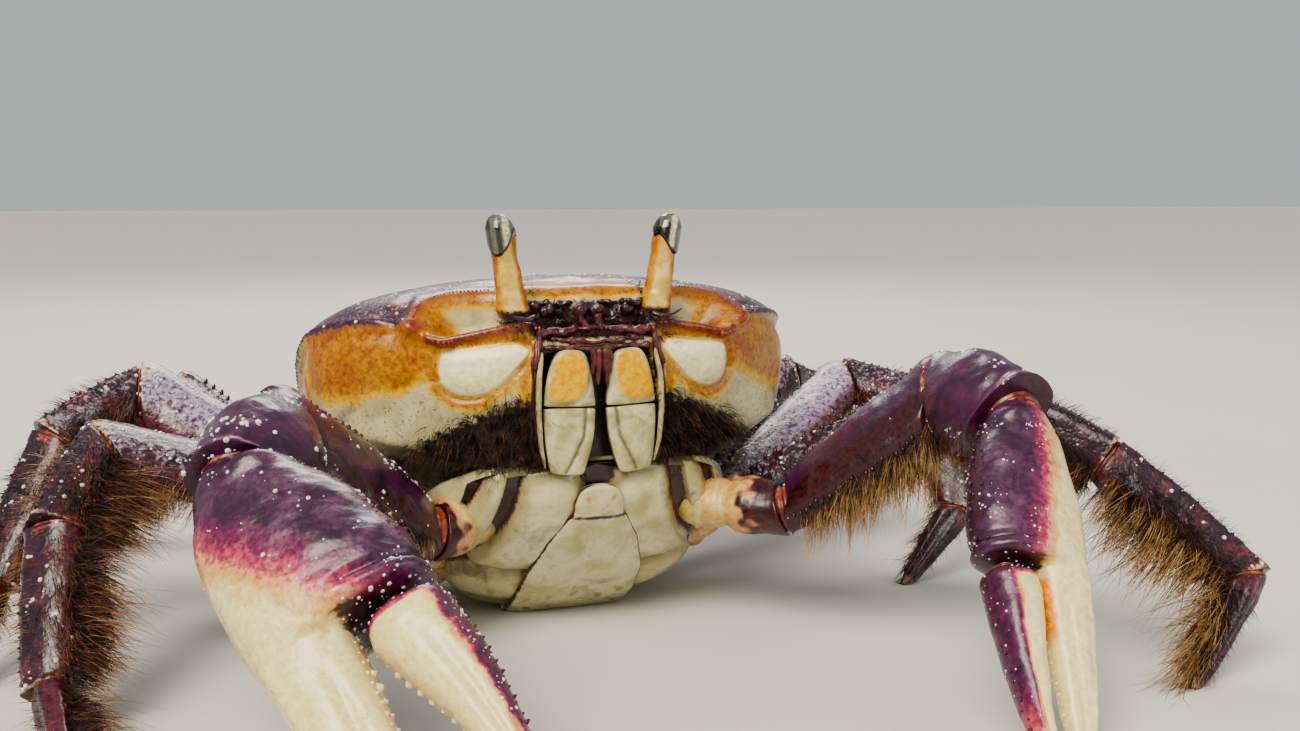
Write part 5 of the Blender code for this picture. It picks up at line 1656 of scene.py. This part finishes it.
sleeves = []
for parts in legs.values():
    sleeves += limb_sleeves(parts, ((3.2, 2.4), (4.2, 2.5), (3.6, 2.6), (2.7, 1.85)), 2.2)
keep(joined("leg_joint_membranes", sleeves), "joint_shell", finish=MEMBRANE)
sleeves = []
for parts in claw_parts.values():
    size, along, up = parts["size"], parts["ways"][3], parts["up"]
    sleeves += limb_sleeves(parts, ((3.7, 3.3), (5.5, 4.6), (4.6, 4.4)), 3.2, size ** 0.5)
    hinge = parts["joints"][3] + along * 28.6 * parts["length"] / HAND_LENGTH + up * 9.2 * size
    sleeves.append(sleeve(hinge, along, along, np.cross(along, up), 2.0 * size, 2.4 * size, 1.3 * size))
keep(joined("claw_joint_membranes", sleeves), "joint_shell", finish=MEMBRANE)

# %% [markdown]
# ## Bristles
#
# Shins and knees carry dense mats of russet bristles and long golden fringes, the arm of each claw
# has a fringe, and dark mats beside the mouth comb water. Hair could be drawn with particle
# curves, but other programs need solid strands, so each bristle is a slim tapered mesh with three
# sides, bent once, and rooted on the skin that carries its mask, length and comb direction. Short
# hair leans towards the toe, long fringes hang.

# %% Tufts and coats
def tufted(skin, finish, density, length, thickness, lift, bend, tangle, seed, **masks):
    """Bristles grown on a skin, from the masks that it carries meanwhile; sizes in mm."""
    paint(skin, **masks)
    tuft = grown("tuft", skin.data, BRISTLES, finish, Density=density * 1e6, Length=length * MM,
                 Thickness=thickness * MM, Lift=lift, Bend=bend, Tangle=tangle, Seed=seed)
    for field in masks:
        skin.data.attributes.remove(skin.data.attributes[field])
    return tuft


def zone(body, facing, comb, density, length, finish, spread, lift, bend, tangle, seed, high=0.97, low=0.05):
    """Bristles on one side of a limb piece. Facing and comb are (x, y, z, along, flexor) shares."""
    rings, out, part = body["rings"], body["out"], body["place"]
    facing, comb = [np.array(v[:3]) + v[3] * body["along"] + v[4] * body["up"] for v in (facing, comb)]
    coat = step(out @ unit(facing), *spread) * step(part, low, low + 0.06) * step(part, high + 0.04, high)
    coat = coat * np.clip(0.7 + 0.6 * ripple(rings, 2.2, seed + 5), 0.05, 1.0)
    reach = 0.7 + 0.3 * np.sin(np.clip((part - low) / (high - low), 0, 1) * math.pi)
    way = unit(comb) + 0.25 * np.stack([ripple(rings, 4.0, seed + k) for k in range(3)], -1)
    return tufted(body["object"], finish, density, length, 0.040 + 0.0025 * length, lift, bend, tangle,
                  seed, coat=coat, reach=reach + 0.25 * ripple(rings, 3.0, seed + 9), comb=way)


def coat_piece(name, tufts, slot):
    """Roots each tuft's UV patch in its own strip of the map, and joins the tufts into one coat."""
    tufts = [tuft for tuft in tufts if len(tuft.data.polygons)]
    for i, tuft in enumerate(tufts):
        baked_roots(tuft, i, len(tufts))
    keep(boxed(joined(name, tufts)), slot)

# %% Coats of the walking legs
FLEXOR = (0, 0, 0, 0, 1)
OUTER = (0, 0, 0, 0, -1)
# Each zone: where it faces, its comb, hairs to the square millimetre, length, finish, how squarely
# a place must face that way for no hair and for all, lift, bend and tangle.
COATS = {
    "right_1": (
        ((0.95, 0.15, -0.25, 0, 0), (0.60, -0.15, -0.45, 0.3, 0), 19.8, 4.4, DARK_BRISTLE,
         (0.0, 0.6), 0.55, 0.4, 0.55),
        ((0.95, 0.15, -0.30, 0, 0), (0.80, -0.15, -0.58, 0, 0), 8.8, 7.6, RUSSET_BRISTLE,
         (0.15, 0.7), 0.55, 0.45, 0.5),
        ((0.95, 0.15, -0.35, 0, 0), (0.86, -0.10, -0.45, 0, 0), 2.2, 9.5, GOLD_BRISTLE,
         (0.3, 0.8), 0.6, 0.5, 0.5),
        ((0.55, -0.80, 0.20, 0, 0), (0.25, 0, 0, 1, 0), 9.9, 2.6, RUSSET_BRISTLE,
         (0.35, 0.85), 0.4, 0.35, 0.4),
        ((-1, -0.10, 0.25, 0, 0), (-0.5, 0, 0.1, 0.5, 0), 1.76, 3.4, GOLD_BRISTLE,
         (0.3, 0.8), 0.75, 0.3, 0.3)),
    "right_2": (
        ((0.3, -0.75, -0.5, 0, 0), (0.3, -0.2, -0.3, 1, 0), 12.1, 3.6, RUSSET_BRISTLE,
         (0.1, 0.7), 0.5, 0.35, 0.4),
        ((-0.8, 0.1, 0.6, 0, 0), (-0.3, 0, 0.2, 0.6, 0), 3.3, 2.4, DARK_BRISTLE,
         (0.3, 0.8), 0.7, 0.3, 0.3)),
    "left_1": (
        (FLEXOR, (-0.80, -0.25, -0.50, 0, 0), 4.62, 11.5, GOLD_BRISTLE, (0.2, 0.8), 0.5, 0.5, 0.35),
        (FLEXOR, (-0.70, -0.25, -0.60, 0, 0), 7.7, 6.8, GOLD_BRISTLE, (0.1, 0.7), 0.5, 0.45, 0.4),
        ((0, -0.5, 0.15, 0, 1), (-0.2, -0.2, -0.5, 0.6, 0), 15.4, 3.4, DARK_BRISTLE,
         (0.15, 0.75), 0.5, 0.4, 0.45),
        (OUTER, (0, 0, 0.35, 1, 0), 3.52, 1.8, RUSSET_BRISTLE, (0.5, 0.9), 0.75, 0.3, 0.3)),
    "others": (
        (FLEXOR, (0, 0, -0.9, 0.5, 0), 6.6, 4.4, RUSSET_BRISTLE, (0.1, 0.75), 0.5, 0.35, 0.35),
        (OUTER, (0, 0, 0, 1, 0), 1.76, 1.8, DARK_BRISTLE, (0.5, 0.9), 0.6, 0.3, 0.25)),
}
THIGH = {"right_1": (4.4, 5.5, GOLD_BRISTLE), "left_1": (3.3, 6.0, GOLD_BRISTLE)}
for name, parts in legs.items():
    tufts = {"carpus": [], "propodus": [], "dactylus": []}
    for kind, zones in tufts.items():
        for i, row in enumerate(COATS.get(name, COATS["others"])):
            zones.append(zone(parts[kind], *row, seed=10 + 3 * i + len(kind)))
    density, length, finish = THIGH.get(name, (3.3, 3.4, RUSSET_BRISTLE))
    thigh = zone(parts["merus"], FLEXOR, (0, 0, -1, 0.5, 0), density, length, finish, (0.5, 0.95),
                 0.45, 0.35, 0.35, 31, high=0.9)
    coat_piece(f"leg_{name}_upper_bristles", tufts["carpus"] + [thigh], "leg_shell")
    coat_piece(f"leg_{name}_lower_bristles", tufts["propodus"] + tufts["dactylus"], "leg_shell")

# %% Fringes of the claws' arms
for word, parts in claw_parts.items():
    under = (0, 0.15, -0.35, 0, 1) if word == "left" else FLEXOR
    tufts = []
    for kind, *row in (
            ("merus", under, (-0.22, -0.20, -1.0, 0, 0), 5.5, 7.0, GOLD_BRISTLE, (0.7, 0.95),
             0.35, 0.35, 0.35),
            ("merus", under, (-0.10, -0.20, -1.0, 0, 0), 9.9, 3.8, GOLD_BRISTLE, (0.7, 0.95),
             0.45, 0.35, 0.45),
            ("merus", under, (0.0, -0.2, -1.0, 0, 0), 8.8, 2.6, DARK_BRISTLE, (0.65, 0.95),
             0.5, 0.3, 0.4),
            ("carpus", FLEXOR, (0, 0, -1, 0.3, 0), 4.4, 2.4, RUSSET_BRISTLE, (0.6, 0.95),
             0.5, 0.3, 0.35)):
        tufts.append(zone(parts[kind], *row, seed=41 + len(tufts), high=0.98))
    coat_piece(f"claw_{word}_bristles", tufts, "claw_shell")

# %% Mats beside the mouth and among the feelers
coat = frontal * step(mat + 1.1 * ripple(shell, 2.4, 99), -0.4, 1.4) * step(height, 25.5, 28)
coat = coat * np.clip(0.6 + 1.1 * ripple(shell, 1.6, 91), 0.1, 1)
coat = coat * np.clip(0.7 + 1.3 * ripple(shell, 3.0, 98), 0.15, 1)
fringe = hump(mat, -0.2, 0.9) * frontal * step(height, 25, 29)
nest = step(far_out, 10.5, 8.0) * step(height, 44.6, 45.6) * step(height, 50.4, 49.6) * frontal
hollow = hump(off_spot(11.0, 48.6), 0, 2.2) * frontal
sign = np.sign(skin_at[..., 0])
comb = np.stack([0.35 * sign * step(far_out, 8, 25), -0.45 + 0 * far_out, -0.65 + 0 * far_out], -1)
comb += 0.55 * np.stack([ripple(shell, 2.2, 93 + k) for k in range(3)], -1)
reach = np.clip(0.9 + 0.8 * ripple(shell, 1.5, 97), 0.35, 1.7)
tufts = [tufted(carapace, finish, density, length, 0.055, lift, 0.4, tangle, seed, coat=amount,
                reach=reach, comb=comb)
         for amount, density, length, finish, lift, tangle, seed in (
             (coat, 24.2, 2.9, DARK_BRISTLE, 0.6, 0.8, 51), (coat, 2.2, 3.4, RUSSET_BRISTLE, 0.6, 0.7, 52),
             (fringe, 8.8, 2.2, DARK_BRISTLE, 0.5, 0.5, 53),
             (np.clip(nest + hollow, 0, 1), 15.4, 1.3, DARK_BRISTLE, 0.6, 0.7, 54))]
coat_piece("mouth_mats", tufts, "carapace_shell")

# %% Sizes, and the end
size = {"cad_box": cad_box, "visual_box": [list(corner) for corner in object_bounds()]}
print("pieces:", len(pieces), " visual box, mm:",
      [[round(v / MM, 1) for v in corner] for corner in size["visual_box"]])
